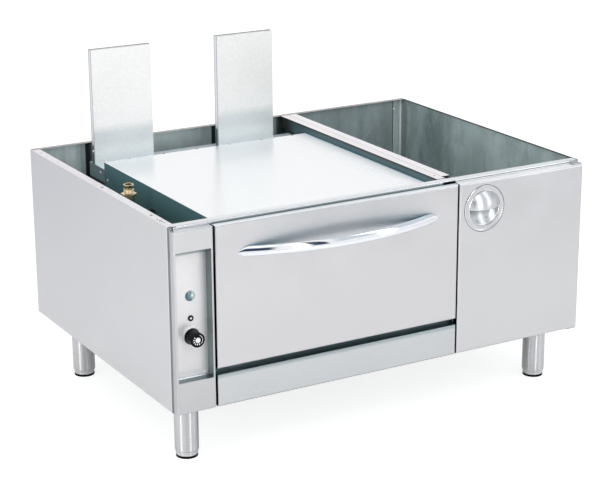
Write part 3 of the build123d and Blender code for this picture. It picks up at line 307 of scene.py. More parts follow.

# The control panel and its recess: painted light on the top and on the recess's back, painted highlights low
# on the back, painted shade on the recess's floor and right wall and in the gap by the door, and a painted
# shadow under the shaded lip
behind_face = ("Y", ">", face_y + 25 * MM, 2)
recess_floor = ("Z", "<", recess_low_z + 3 * MM, 1)
recess_right = [("nX", "<", -0.6, 0.1), ("X", ">", control_high.x - 20 * MM, 1)]
sheet_metal(
    "satin_control", ((0.565, 0.565, 0.57), (0.585, 0.585, 0.59)), (0.28, 0.31), UPRIGHT, bump=0.006,
    zones=[([("X", "<", control_low.x + 5.5 * MM, 0.6)], (0.60, 0.61, 0.63), 0.3),
           ([TOP_FOLD, ("Z", ">", control_high.z - 3 * MM, 1)], (0.78, 0.78, 0.79), 0.3),
           ([behind_face, FLAT_FRONT], (0.85, 0.84, 0.845), 0.3, 0.45),
           ([behind_face, FLAT_FRONT, ("Z", "<", recess_low_z + 12 * MM, 8)],
            (0.97, 0.96, 0.96), 0.4, 0.15),
           ([("Y", ">", recess_y - 3 * MM, 1), recess_floor], (0.98, 0.98, 0.99), 0.3, 1.0),
           ([("Y", ">", face_y + 3 * MM, 1), ("Y", "<", recess_y - 3 * MM, 1),
             ("nZ", ">", 0.7, 0.2), recess_floor], (0.19, 0.245, 0.255), 0.3),
           ([("Y", ">", face_y + 20 * MM, 1), ("Z", ">", recess_high_z - 14 * MM, 5),
             ("Z", "<", recess_high_z + 1 * MM, 1)], (0.34, 0.38, 0.39), 0.3),
           ([LOOKS_FRONT, ("Z", ">", recess_high_z - 0.5 * MM, 0.4),
             ("Z", "<", recess_high_z + 1.8 * MM, 0.8), ("X", ">", recess_low_x, 0.5),
             ("X", "<", recess_high_x, 0.5)], (0.22, 0.25, 0.26), 0.3),
           (recess_right, (0.25, 0.30, 0.305), 0.3),
           ([*recess_right, HIGH_ON_CONTROL], (0.19, 0.235, 0.24), 0.3),
           ([("nX", ">", 0.6, 0.1), ("X", ">", control_high.x - 4 * MM, 1),
             ("Y", ">", face_y + 1.6 * MM, 0.6)], (0.02, 0.025, 0.028), 0.5)])
# The plinth: painted shade in its folds and on its top fold, and darker along its bottom edge
sheet_metal(
    "satin_plinth", ((0.60, 0.62, 0.63), (0.62, 0.64, 0.65)), (0.26, 0.34), ALONG_X, bump=0.02,
    zones=[(fold_tests, *painted_fold_shade),
           ([("Z", ">", plinth_high.z - 6 * MM, 12)], (0.26, 0.33, 0.34), 0.3),
           ([("Z", "<", plinth_low.z + 2.5 * MM, 2)], (0.40, 0.40, 0.42), 0.3)])

# The side panels and the back, brushed outside and zinc inside
# The left side: darker and bluer towards the back and top, a painted highlight along the front edge with a
# line of painted shade at the very front, painted shade on the front return, zinc inside, and the rim's top
# painted light
outer_left = ("nX", "<", -0.5, 0.2)
sheet_metal(
    "satin_left", ((0.70, 0.70, 0.71), (0.725, 0.72, 0.73)), (0.28, 0.32), ALONG_Y, bump=0.006,
    zones=[(REAR_OF_LEFT_SIDE, (0.645, 0.645, 0.69), 0.3),
           ([outer_left, ("Y", "<", front_y + 8 * MM, 2)], (0.86, 0.85, 0.87), 0.3),
           ([outer_left, ("Y", "<", front_y + 3 * MM, 1)], (0.13, 0.14, 0.15), 0.3),
           ([("X", ">", side_low.x + HALF_SHEET, 0.2), ("Z", "<", rim_z - 1.4 * MM, 0.2)],
            ZINC, 0.4, 0.5),
           ([("nY", "<", -0.6, 0.2), ("Y", "<", front_y + 2 * MM, 0.4)], (0.30, 0.31, 0.32), 0.4),
           ([("Z", ">", rim_z - HALF_SHEET, 0.4)], RIM, 0.3)])
# The right side: zinc inside with blotches, darker towards the back, with painted shade under the rim inside
# and on the rim's top edge
sheet_metal(
    "satin_right", ((0.63, 0.63, 0.65), (0.66, 0.66, 0.68)), (0.28, 0.34), ALONG_Y, bump=0.02,
    streaks=(*BLOTCHED_WALL, [INNER_RIGHT]),
    zones=[([INNER_RIGHT], (0.64, 0.75, 0.745), 0.42, 0.4),
           ([INNER_RIGHT, REAR_OF_RIGHT_WALL], (0.52, 0.60, 0.60), 0.42, 0.4),
           ([INNER_RIGHT, ("Z", ">", rim_z - 3.8 * MM, 1.2)], (0.03, 0.035, 0.035), 0.5, 0.4),
           ([("Z", ">", rim_z - 0.5 * MM, 0.3)], (0.05, 0.055, 0.055), 0.4)])
# The back: zinc inside with streaks and crystals and a clean outside, with painted shade in the cabinet,
# painted shadows beside each duct and behind the cross rail, painted light left of the left duct, and a
# darker, browner top edge
sheet_metal(
    "satin_back", ((0.54, 0.62, 0.62), (0.62, 0.70, 0.69)), (0.34, 0.44), UPRIGHT, bump=0.06, spangle=60.0,
    streaks=(*DOWN_THE_WALL, [INNER_BACK]), metallic=0.4,
    zones=[([("X", ">", rail_high.x, 4)], (0.43, 0.50, 0.505), 0.4),
           ([("X", "<", duct_low.x, 4)], (0.85, 0.95, 0.95), 0.4),
           ([("X", ">", duct_low.x + 14 * MM, 2), ("X", "<", duct_low.x + 40 * MM, 30)], SHADE, 0.5),
           ([("X", ">", right_duct_low.x + 28 * MM, 2), ("X", "<", right_duct_low.x + 56 * MM, 30)],
            SHADE, 0.5),
           ([("X", ">", rail_low.x - 8 * MM, 6), ("X", "<", rail_high.x, 6)],
            (0.12, 0.15, 0.15), 0.5),
           ([("Y", ">", back_high.y - HALF_SHEET, 0.2)], (0.64, 0.64, 0.66), 0.32, 1.0),
           ([("Z", ">", rim_z - HALF_SHEET, 0.4)], (0.46, 0.43, 0.41), 0.3, 1.0)])

# Galvanised sheet inside: walls, posts and rails
sheet_metal(
    "zinc_inside", (ZINC, (0.62, 0.69, 0.685)), (0.32, 0.44), UPRIGHT, bump=0.06,
    streaks=DOWN_THE_WALL, spangle=60.0, metallic=0.4)
# The corner post: a line of painted shade at its edge, a painted highlight on its front, and painted shade
# on the side wall by the corner
sheet_metal(
    "zinc_post", ((0.62, 0.69, 0.68), (0.70, 0.76, 0.75)), (0.3, 0.4), UPRIGHT, bump=0.06,
    streaks=DOWN_THE_WALL, spangle=60.0, metallic=0.4,
    zones=[([("X", ">", post_x, 0.5), ("X", "<", post_x + 2.6 * MM, 0.5)],
            (0.03, 0.045, 0.045), 0.5),
           ([("X", ">", post_x + 26 * MM, 0.5), LOOKS_FRONT], (1.0, 1.0, 1.0), 0.4, 0.1),
           ([("X", ">", post_x + 28 * MM, 1), LOOKS_LEFT], (0.30, 0.36, 0.36), 0.4)])
# The cross rail: painted light on its pale top, darker over the top's front 5 mm, and painted shade on its
# left face, darkest high up and towards the back
sheet_metal(
    "zinc_rail", ((0.86, 0.825, 0.84), (0.94, 0.905, 0.915)), (0.34, 0.42), ALONG_Y, 700.0, 0.08,
    zones=[([LOOKS_UP, ("Y", "<", rail_low.y + 5 * MM, 2)], (0.30, 0.30, 0.31), 0.5),
           ([LOOKS_LEFT], (0.06, 0.115, 0.13), 0.4, 0.3),
           ([LOOKS_LEFT, ("Z", ">", rim_z - 5 * MM, 4)], (0.02, 0.025, 0.026), 0.5),
           ([LOOKS_LEFT, ("Y", ">", back_high.y - 75 * MM, 50)], (0.015, 0.02, 0.02), 0.5)])
# The cabinet wall's rail: its top painted light, zinc below
sheet_metal(
    "wall_rail", ((0.88, 0.85, 0.865), (0.94, 0.92, 0.93)), (0.34, 0.42), ALONG_Y, 700.0, 0.08,
    zones=[([("Z", "<", rim_z - 1.4 * MM, 0.2)], ZINC, 0.4, 0.4)])

# The front rail: its thin edge over each door, with painted shade low on its face over the oven door and the
# control panel, a line of painted shade over the cabinet door with painted light below it, painted shade
# where the doors meet, and its zinc inside
sheet_metal(
    "front_rim", ((0.76, 0.77, 0.79), (0.82, 0.825, 0.84)), (0.2, 0.3), ALONG_X, bump=0.02,
    zones=[([("X", ">", cabinet_low.x, 60)], (0.77, 0.79, 0.80), 0.3),
           ([LOOKS_FRONT, ("X", "<", door_high.x, 4), ("X", ">", door_low.x, 4),
             ("Z", "<", rim_z - 3.9 * MM, 1)], (0.34, 0.39, 0.395), 0.4),
           ([LOOKS_FRONT, ("X", "<", door_low.x, 4), ("Z", "<", rim_z - 6.0 * MM, 1)],
            (0.40, 0.41, 0.42), 0.4),
           ([LOOKS_FRONT, ("X", ">", cabinet_low.x, 4), ("Z", "<", rim_z - 4.2 * MM, 0.6),
             ("Z", ">", rim_z - 5.6 * MM, 0.6)], (0.08, 0.09, 0.095), 0.4),
           ([LOOKS_FRONT, ("X", ">", cabinet_low.x + 4 * MM, 4),
             ("Z", "<", rim_z - 5.8 * MM, 0.4)], (0.95, 0.96, 0.97), 0.4, 0.2),
           ([LOOKS_FRONT, ("X", ">", door_high.x - 34 * MM, 6),
             ("X", "<", cabinet_low.x + 1 * MM, 1), ("Z", "<", rim_z - 2.5 * MM, 1)],
            (0.01, 0.015, 0.016), 0.5),
           ([("Z", "<", rim_z - 2 * MM, 0.4), ("Y", ">", front_y + 1.2 * MM, 0.2)], ZINC, 0.4)])

# The oven's bright casing, the flue box and the ducts, with painted shade that darkens the ducts towards the
# rim
# The casing: painted light on the top near the right edge, a painted highlight along that edge, painted
# shade on the left face, darker low down, and zinc below
casing_left = ("nX", "<", -0.85, 0.2)
sheet_metal(
    "bright_casing", ((0.905, 0.912, 0.925), (0.92, 0.928, 0.94)), (0.2, 0.22), NO_GRAIN, 300.0, 0.0, 3.0,
    metallic=0.85,
    zones=[([("X", ">", casing_high.x - 62 * MM, 44), LOOKS_UP], (0.93, 0.95, 0.96), 0.3, 0.05),
           ([("X", ">", casing_high.x - 5 * MM, 5), LOOKS_UP], (0.50, 0.88, 1.0), 0.3, 0.05),
           ([casing_left], (0.11, 0.235, 0.26), 0.4, 0.25),
           ([casing_left, ("Z", "<", rim_z - 90 * MM, 120)], (0.07, 0.15, 0.16), 0.4, 0.25),
           ([("nZ", "<", -0.5, 0.2)], ZINC, 0.4)])
# The ducts: painted shade on the lower part, lighter again below the rim, painted shade low on the left face
# and along its front and rear edges, and dark along the top behind the front
sheet_metal(
    "bright_duct", ((0.885, 0.88, 0.86), (0.915, 0.907, 0.887)), (0.42, 0.5), UPRIGHT, 500.0, 0.01,
    spangle=140.0, metallic=0.65,
    zones=[([("Z", "<", rim_z + 52 * MM, 24)], (0.705, 0.735, 0.735), 0.46),
           ([("Z", "<", rim_z + 4 * MM, 30)], (0.87, 0.90, 0.90), 0.46, 0.5),
           ([LEFT_EDGE], (0.92, 0.93, 0.95), 0.4, 0.65),
           ([LEFT_EDGE, ("Z", "<", rim_z + 10 * MM, 8), ("Y", ">", duct_low.y + 5 * MM, 2)],
            (0.11, 0.16, 0.19), 0.4),
           ([LEFT_EDGE, ("Y", "<", duct_low.y + 3 * MM, 1)], (0.30, 0.32, 0.34), 0.4),
           ([LEFT_EDGE, ("Y", ">", duct_high.y - 3 * MM, 1)], (0.34, 0.36, 0.38), 0.4),
           ([("Z", ">", duct_high.z - 1.2 * MM, 0.4), ("Y", ">", duct_low.y + 7 * MM, 2)],
            (0.28, 0.29, 0.30), 0.4)])
# The flue box: painted shade on its left face, black low down
sheet_metal(
    "flue_metal", ((0.66, 0.74, 0.77), (0.76, 0.82, 0.84)), (0.3, 0.42), UPRIGHT, 500.0, 0.03,
    spangle=60.0, metallic=0.5,
    zones=[([LEFT_EDGE], (0.27, 0.36, 0.38), 0.38),
           ([LEFT_EDGE, ("Z", "<", rim_z - 78 * MM, 5)], (0.015, 0.02, 0.02), 0.5)])
# The oven's front frame and the hinge brackets are dark all over as painted shade, where they show in the
# gaps
sheet_metal("painted_shade_frame", ((0.07, 0.10, 0.105), (0.10, 0.13, 0.135)), (0.3, 0.4), ALONG_X)
sheet_metal("painted_shade_hinges", ((0.10, 0.12, 0.125), (0.16, 0.18, 0.185)), (0.35, 0.45), ALONG_X)

# The cup pull's flange, with painted highlights where it slopes to the left and painted shade where it looks
# right above the middle, and its bowl, with painted shade upwards under the hood
left_slope = ("nX", "<", -0.25, 0.2)
sheet_metal(
    "pull_flange_steel", ((0.58, 0.58, 0.59), (0.61, 0.61, 0.62)), (0.2, 0.26), ALONG_X, bump=0.02,
    zones=[([left_slope, ("X", "<", cup_middle.x, 8)], (1.0, 1.0, 1.0), 0.2),
           ([left_slope, ("X", ">", cup_middle.x + 30 * MM, 4),
             ("X", "<", cup_middle.x + 47 * MM, 2), ("Z", ">", cup_middle.z - 26 * MM, 6),
             ("Z", "<", cup_middle.z + 6 * MM, 8)], (1.0, 1.0, 1.0), 0.2),
           ([("nX", ">", 0.3, 0.2), ("Z", ">", cup_middle.z, 8)], (0.30, 0.31, 0.32), 0.3)])
plain(
    "bowl_steel", (0.55, 0.57, 0.58), (0.59, 0.61, 0.62), (0.24, 0.30), 1.0, 120.0, 0.01,
    zones=[([("Z", ">", cup_middle.z - 12 * MM, 22)], (0.16, 0.19, 0.20))])
plain("dished_steel", (0.60, 0.61, 0.62), (0.64, 0.65, 0.66), (0.27, 0.33), 1.0, 120.0, 0.01)

# Tubes, cast and small metal parts, plastic, rubber and glass
turned("leg_tube", ((0.66, 0.66, 0.67), (0.70, 0.70, 0.705)), (0.32, 0.36), 0.96)
turned("foot_steel", ((0.74, 0.75, 0.76), (0.78, 0.79, 0.80)), (0.28, 0.32), 0.94, foot_pad_z)
plain("enamel", (0.015, 0.015, 0.018), (0.03, 0.03, 0.034), (0.15, 0.25), coat=0.4)
plain("cast", (0.05, 0.05, 0.052), (0.09, 0.09, 0.092), (0.55, 0.7), 0.6, 300.0, 0.3)
plain("wool", (0.55, 0.50, 0.32), (0.68, 0.62, 0.42), (0.9, 1.0), 0.0, 400.0, 0.8)
plain("burner_steel", (0.20, 0.19, 0.18), (0.32, 0.31, 0.30), (0.4, 0.55), 1.0, 60.0, 0.1)
plain("brass", (0.74, 0.58, 0.34), (0.90, 0.78, 0.54), (0.12, 0.22), 1.0, 260.0, 0.08)
plain("dark_pipe", (0.03, 0.05, 0.055), (0.05, 0.07, 0.075), (0.45, 0.55), 0.3, 90.0, 0.08)
plain("pipe_steel", (0.42, 0.44, 0.45), (0.52, 0.54, 0.55), (0.3, 0.42), 1.0, 90.0, 0.08)
plain("chrome", (0.86, 0.88, 0.92), (0.90, 0.915, 0.94), (0.05, 0.09), 1.0, 40.0, 0.01)
plain("ring_chrome", (0.95, 0.95, 0.94), (0.98, 0.98, 0.97), (0.3, 0.4), 0.5, 90.0, 0.01)
plain("fastener", (0.62, 0.62, 0.63), (0.74, 0.74, 0.75), (0.2, 0.34), 1.0, 150.0, 0.05)
plain("bright_screw", (0.88, 0.89, 0.90), (0.96, 0.97, 0.97), (0.2, 0.3), 0.4, 150.0, 0.05)
# The corner tab's dark tone is painted shade
plain("corner_painted_shade", (0.20, 0.21, 0.22), (0.28, 0.29, 0.30), (0.3, 0.4), 1.0, 200.0, 0.05)
plain(
    "weld_metal", (0.03, 0.035, 0.04), (0.09, 0.10, 0.11), (0.5, 0.65), 0.0, 900.0, 0.2, gloss=0.2)
plain(
    "black_plastic", (0.002, 0.004, 0.005), (0.006, 0.010, 0.012), (0.24, 0.36), 0.0, 500.0, 0.1, gloss=0.08)
plain("white_plastic", (0.93, 0.93, 0.92), (0.97, 0.97, 0.96), (0.2, 0.3), 0.0, 300.0, 0.02)
plain("nylon", (0.70, 0.69, 0.64), (0.78, 0.77, 0.73), (0.4, 0.5), 0.0, 200.0, 0.05)
plain("gasket_rubber", (0.03, 0.03, 0.032), (0.06, 0.06, 0.062), (0.6, 0.75), 0.0, 700.0, 0.3)
# The lens: painted light on its right, painted shade on its left and low down, and a painted highlight right
# of the middle, a little above it
plain(
    "lens_glass", (0.10, 0.20, 0.24), (0.30, 0.40, 0.46), (0.03, 0.06), 0.0, 90.0, 0.01, 1.0,
    zones=[([("X", ">", lens_middle.x + 2.5 * MM, 5)], (0.50, 0.58, 0.64)),
           ([("X", "<", lens_middle.x - 4 * MM, 5)], (0.05, 0.14, 0.18)),
           ([("X", ">", lens_middle.x + 1 * MM, 2), ("X", "<", lens_middle.x + 7 * MM, 2),
             ("Z", ">", lens_middle.z - 1 * MM, 2), ("Z", "<", lens_middle.z + 5 * MM, 2)],
            (0.86, 0.90, 0.92)),
           ([("X", ">", lens_middle.x - 5 * MM, 3), ("X", "<", lens_middle.x + 3 * MM, 3),
             ("Z", "<", lens_middle.z - 5 * MM, 3)], (0.07, 0.17, 0.20))])

# Each slot's material, where its name differs, and the nodes that have their own
CORNERS = ("front_left", "front_right", "back_left", "back_right")
SLOT_MATERIALS = {
    "stainless_satin": "satin_front",
    "galvanised": "zinc_inside",
    "bright_plated": "bright_duct",
    "enamel_dark": "enamel",
    "cast_plate": "cast",
    "mineral_wool": "wool",
    "fastener_steel": "fastener",
    "gasket": "gasket_rubber",
    "sight_glass": "lens_glass",
}
NODE_MATERIALS = {
    "left_side_panel": "satin_left",
    "right_side_panel": "satin_right",
    "back_panel": "satin_back",
    "control_panel": "satin_control",
    "plinth_panel": "satin_plinth",
    "oven_door_skin": "door_steel",
    "door_hinge_brackets": "painted_shade_hinges",
    "front_rail": "front_rim",
    "door_pivots": "pipe_steel",
    "gas_pipe": "dark_pipe",
    "pipe_bracket": "dark_pipe",
    "cross_rail": "zinc_rail",
    "cabinet_left_wall": "wall_rail",
    "corner_posts": "zinc_post",
    "oven_casing": "bright_casing",
    "flue_box": "flue_metal",
    "oven_front_frame": "painted_shade_frame",
    **{corner + "_leg": "leg_tube" for corner in CORNERS},
    **{corner + "_foot": "foot_steel" for corner in CORNERS},
}
for entry in frame["record"]["subparts"]:
    name = entry["node"]
    slot = entry["material_slot"]
    slots = nodes[name].data.materials
    slots.clear()
    slots.append(made[NODE_MATERIALS.get(name, SLOT_MATERIALS.get(slot, slot))])


# Mesh helpers
def add_object(name, data):
    thing = bpy.data.objects.new(name, data)
    bpy.context.scene.collection.objects.link(thing)
    return thing


def finish_piece(name, bm, material, body, slot_name, sharp, *replaced):
    """Turns a mesh under construction into a piece that rides on a body."""
    bmesh.ops.remove_doubles(bm, verts=bm.verts, dist=1e-7)
    bmesh.ops.recalc_face_normals(bm, faces=bm.faces)
    mesh = bpy.data.meshes.new(name)
    bm.to_mesh(mesh)
    bm.free()
    mesh.shade_smooth()
    mesh.set_sharp_from_angle(angle=math.radians(sharp))
    mesh.materials.append(made[material])
    piece = add_object(name, mesh)
    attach(piece, body)
    if replaced:
        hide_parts(*replaced)


def facing(place, direction):
    """A matrix that puts local +Z along a direction at a place."""
    turn = Vector(direction).to_track_quat("Z", "Y").to_matrix().to_4x4()
    return Matrix.Translation(place) @ turn


def skin_rings(bm, rings, closed_around=True, close_ends=False):
    """Joins rows of points with quads."""
    rows = [[bm.verts.new(point) for point in ring] for ring in rings]
    count = len(rows[0])
    for row, following in zip(rows, rows[1:]):
        for index in range(count if closed_around else count - 1):
            after = (index + 1) % count
            bm.faces.new((row[index], row[after], following[after], following[index]))
    if close_ends:
        bm.faces.new(rows[0])
        bm.faces.new(list(reversed(rows[-1])))
    return rows


def lathe(bm, profile, matrix, segments, shape=None):
    """Turns (radius, height) points about local Z. shape changes a radius and a height by the angle."""
    rings = []
    for radius, height in profile:
        ring = []
        for index in range(segments):
            angle = 2 * math.pi * index / segments
            reach, level = shape(radius, height, angle) if shape else (radius, height)
            ring.append(matrix @ Vector((reach * math.cos(angle), reach * math.sin(angle), level)))
        rings.append(ring)
    skin_rings(bm, rings, close_ends=profile[0] != profile[-1])


def lathed_piece(name, profile, matrix, segments, *finish, shape=None):
    """A piece of one turned profile. finish is what finish_piece needs after the mesh."""
    bm = bmesh.new()
    lathe(bm, profile, matrix, segments, shape)
    finish_piece(name, bm, *finish)


def round_part(name):
    """How a round part on the front is turned and placed, its radius and its length."""
    low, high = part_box(name)
    place = Vector(((low.x + high.x) / 2, high.y, (low.z + high.z) / 2))
    return facing(place, (0, -1, 0)), (high.x - low.x) / 2, high.y - low.y


def rounded(corners, radius, steps=4):
    """A profile whose inner corners are rounded; each corner may carry its own radius."""
    points = [corners[0][:2]]
    for index in range(1, len(corners) - 1):
        before, corner, after = (Vector(corners[i][:2]) for i in (index - 1, index, index + 1))
        own = corners[index][2] if len(corners[index]) > 2 else radius
        first = corner + (before - corner).normalized() * own
        last = corner + (after - corner).normalized() * own
        for step in range(steps + 1):
            share = step / steps
            point = first.lerp(corner, share).lerp(corner.lerp(last, share), share)
            points.append((point.x, point.y))
    points.append(corners[-1][:2])
    return points


# The bow handle: an oval bar on one arc, its ends drawn in where they meet the door
def make_handle():
    low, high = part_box("bow_handle")
    middle = (low + high) / 2
    half_span = (high.x - low.x) / 2
    bulge = high.y - low.y
    outer = (half_span ** 2 + bulge ** 2) / (2 * bulge)
    half_depth, half_height = 7.5 * MM, (high.z - low.z) / 2
    axis_y = low.y + outer
    end_round, end_share, lean = 13 * MM, 0.42, 0.3
    rings = []
    steps = 160
    for step in range(steps + 1):
        share = -math.cos(math.pi * step / steps)
        ring = []
        for corner in range(40):
            turn = 2 * math.pi * corner / 40
            reach = outer - half_depth + half_depth * math.cos(turn)
            limit = math.acos((axis_y - high.y) / reach)
            angle = share * limit
            left = (1 - abs(share)) * limit * outer
            inward = min(1.0, left / end_round)
            squeeze = end_share + (1 - end_share) * math.sqrt(1 - (1 - inward) ** 2)
            level = math.sin(turn) - lean * max(0.0, math.cos(turn)) ** 2
            z = middle.z + half_height * squeeze * level
            ring.append(Vector((middle.x + reach * math.sin(angle), axis_y - reach * math.cos(angle), z)))
        rings.append(ring)
    bm = bmesh.new()
    skin_rings(bm, rings, close_ends=True)
    finish_piece("handle_bar", bm, "chrome", "oven_door", "chrome", 50, "bow_handle")


# The round pull of the cabinet door: a flange, a hooded upper half and a hollow lower half
def cap_depth(radius, height, distance):
    """How far a shallow spherical cap stands off its rim at a distance from its middle."""
    ball = (radius ** 2 + height ** 2) / (2 * height)
    return math.sqrt(ball ** 2 - distance ** 2) - (ball - height)


def cap_shell(bm, centre, radius, height, thickness, side, start, end):
    """Part of a shallow spherical cap on the door's face, proud (-1) or hollow (1)."""
    spokes, steps = 48, 28
    skins = []
    for inset in (0, thickness):
        rows = []
        for spoke in range(spokes + 1):
            angle = start + (end - start) * spoke / spokes
            row = []
            for step in range(steps + 1):
                distance = radius * math.sin(math.pi / 2 * step / steps)
                depth = cap_depth(radius, height, distance) - inset
                if step < steps:
                    depth = max(depth, 0.0)
                row.append(centre + Vector((distance * math.cos(angle), side * depth,
                                            distance * math.sin(angle))))
            rows.append(row)
        skins.append(skin_rings(bm, rows, closed_around=False))
    outside, inside = skins
    for edge in (0, -1):
        for index in range(steps):
            bm.faces.new((outside[edge][index], outside[edge][index + 1], inside[edge][index + 1],
                          inside[edge][index]))
    for spoke in range(spokes):
        bm.faces.new((outside[spoke][-1], outside[spoke + 1][-1], inside[spoke + 1][-1], inside[spoke][-1]))


def make_cup():
    low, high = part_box("cup_pull")
    centre = Vector(((low.x + high.x) / 2, face_y, (low.z + high.z) / 2))
    turn = facing(centre, (0, -1, 0))
    flange, opening = (high.x - low.x) / 2, 46 * MM
    sheet, hollow, hood = 1.2 * MM, 13.5 * MM, 17 * MM
    corners = [(opening - 1.2 * MM, -0.6 * MM), (opening - 0.4 * MM, 1.2 * MM),
               (opening + 0.8 * MM, 1.6 * MM), (opening + 2.6 * MM, 0.9 * MM),
               (flange - 5.8 * MM, 0.8 * MM), (flange - 4.0 * MM, 1.5 * MM), (flange - 2.2 * MM, 1.5 * MM),
               (flange - 0.9 * MM, 0.5 * MM), (flange - 0.9 * MM, -0.3 * MM)]
    ring = rounded(corners, 0.5 * MM, 3)
    lathed_piece("pull_flange", [*ring, ring[0]], turn, 128,
                 "pull_flange_steel", "cabinet_door", "stainless_satin", 50, "cup_pull")
    # Two thin black rings as painted shade, round the flange's outer edge and just outside the inner bead
    for name, outside, wide, level in (("pull_edge_shade", flange - 0.02 * MM, 1.3 * MM, 0.7 * MM),
                                       ("pull_bead_shade", opening + 1.4 * MM, 0.5 * MM, 1.75 * MM)):
        inside, foot = outside - wide, 0.1 * MM
        band = [(inside, foot), (inside, level), (outside, level), (outside, foot), (inside, foot)]
        lathed_piece(name, rounded(band, 0.1 * MM, 2), turn, 128,
                     "gasket_rubber", "cabinet_door", "gasket", 50)
    bm = bmesh.new()
    cap_shell(bm, centre, opening, hollow, sheet, 1, math.pi, 2 * math.pi)
    finish_piece("pull_bowl", bm, "bowl_steel", "cabinet_door", "stainless_satin", 50)
    bm = bmesh.new()
    cap_shell(bm, centre, opening, hood, sheet, -1, 0, math.pi)
    finish_piece("pull_hood", bm, "dished_steel", "cabinet_door", "stainless_satin", 50)

    # A shelf over the bowl's cut edge and a half disc behind the hood
    front, columns = 0.2 * MM, 24
    rows = [[], []]
    for column in range(-columns, columns + 1):
        across = column * opening / columns
        deep = max(cap_depth(opening, hollow, across) - sheet / 2, front)
        rows[0].append(Vector((centre.x + across, face_y + front, centre.z)))
        rows[1].append(Vector((centre.x + across, face_y + deep, centre.z)))
    bm = bmesh.new()
    skin_rings(bm, rows, closed_around=False)
    fan = []
    for step in range(49):
        angle = math.pi * step / 48
        fan.append(Vector((centre.x + opening * math.cos(angle), face_y + front,
                           centre.z + opening * math.sin(angle))))
    bm.faces.new([bm.verts.new(point) for point in fan])
    finish_piece("pull_backing", bm, "zinc_inside", "cabinet_door", "stainless_satin", 50)


# The thermostat knob with its marks and ring
def make_knob():
    seat, _, length = round_part("thermostat_knob")
    skirt, radius = 19.1 * MM, 18.2 * MM
    front = length - 0.5 * MM
    face = front - 0.6 * MM

    def fluted(reach, level, angle):
        on_side = reach > radius - 1.2 * MM and 6 * MM < level < length - 1.5 * MM
        return (reach - 0.8 * MM * max(0.0, math.cos(18 * angle)) ** 6 if on_side else reach), level

    profile = rounded([(0.5 * MM, 0), (skirt, 0), (skirt, 5 * MM), (radius + 0.2 * MM, 6 * MM),
                       (radius, 7.5 * MM), (radius, front), (14.5 * MM, front, 0.8 * MM),
                       (14.0 * MM, face, 0.3 * MM), (0.4 * MM, face)], 1.1 * MM)
    fine = []
    for first, last in zip(profile, profile[1:]):
        pieces = 10 if abs(last[1] - first[1]) > 10 * MM else 1
        for step in range(pieces):
            share = step / pieces
            fine.append((first[0] + (last[0] - first[0]) * share, first[1] + (last[1] - first[1]) * share))
    fine.append(profile[-1])
    lathed_piece("knob_body", fine, seat, 216,
                 "black_plastic", "knob", "black_plastic", 40, "thermostat_knob", shape=fluted)

    bm = bmesh.new()
    hub = [(0.2 * MM, face - 0.2 * MM), (6.6 * MM, face - 0.2 * MM), (6.6 * MM, face + 0.5 * MM),
           (0.2 * MM, face + 0.5 * MM)]
    lathe(bm, rounded(hub, 0.2 * MM), seat, 48)
    place = seat.translation
    level = face + 0.15 * MM

    def strip(start, end, inner, outer):
        """A raised mark on the face from one angle to another, in degrees."""
        count = max(2, int((end - start) / 4))
        rows = []
        for lift in (face - 0.1 * MM, level):
            for reach in ((inner, outer) if lift < level else (outer, inner)):
                row = []
                for step in range(count + 1):
                    turn = math.radians(start + (end - start) * step / count)
                    row.append(place + Vector((-reach * math.cos(turn), -lift, reach * math.sin(turn))))
                rows.append(row)
        rows.append(rows[0])
        skin_rings(bm, rows, closed_around=False)

    for mark in (250, 280, 310, 340, 370, 400):
        strip(mark - 7, mark + 7, 9.0 * MM, 12.4 * MM)
    strip(112, 228, 11.8 * MM, 12.9 * MM)
    finish_piece("knob_marks", bm, "white_plastic", "knob", "white_plastic", 40)


def make_bezel():
    turn, radius, depth = round_part("knob_bezel")
    inner, outer = radius - 3 * MM, radius - 0.1 * MM
    ring = rounded([(inner, depth / 2), (inner, depth - 0.1 * MM), (outer, depth - 0.1 * MM), (outer, 0),
                    (inner, 0), (inner, depth / 2)], 1.3 * MM, 6)
    lathed_piece("knob_ring", ring, turn, 96, "ring_chrome", "body", "chrome", 60, "knob_bezel")
    # A black ring round the knob inside the bezel, painted shade
    inner, outer = 19.5 * MM, 21.4 * MM
    seat = rounded([(inner, 1 * MM), (inner, depth - 0.4 * MM), (outer, depth - 0.2 * MM), (outer, 1 * MM),
                    (inner, 1 * MM)], 0.3 * MM, 3)
    lathed_piece("knob_shade_ring", seat, turn, 96, "black_plastic", "body", "black_plastic", 60)


def make_button():
    turn, radius, length = round_part("igniter_button")
    reach, length = radius - 0.9 * MM, length - 2.6 * MM
    profile = rounded([(0.1 * MM, 0), (reach, 0), (reach, length - 0.2 * MM, 1.6 * MM),
                       (0.1 * MM, length - 0.1 * MM)], 0.3 * MM, 6)
    lathed_piece("button_cap", profile, turn, 48,
                 "white_plastic", "button", "white_plastic", 50, "igniter_button")


def make_lens():
    turn, radius, length = round_part("sight_glass")
    barrel, rim, dome = 10.9 * MM, radius - 0.1 * MM, radius - 0.8 * MM
    profile = [(0.1 * MM, 0.1 * MM), (barrel, 0.1 * MM), (barrel, length - 3.8 * MM),
               (rim, length - 3.8 * MM), (rim, length - 2.9 * MM), (dome, length - 2.2 * MM)]
    for step in range(1, 13):
        angle = math.pi / 2 * step / 12
        profile.append((max(dome * math.cos(angle), 0.1 * MM),
                        length - 2.2 * MM + 2.1 * MM * math.sin(angle)))
    lathed_piece("sight_lens", profile, turn, 72, "lens_glass", "body", "sight_glass", 40, "sight_glass")


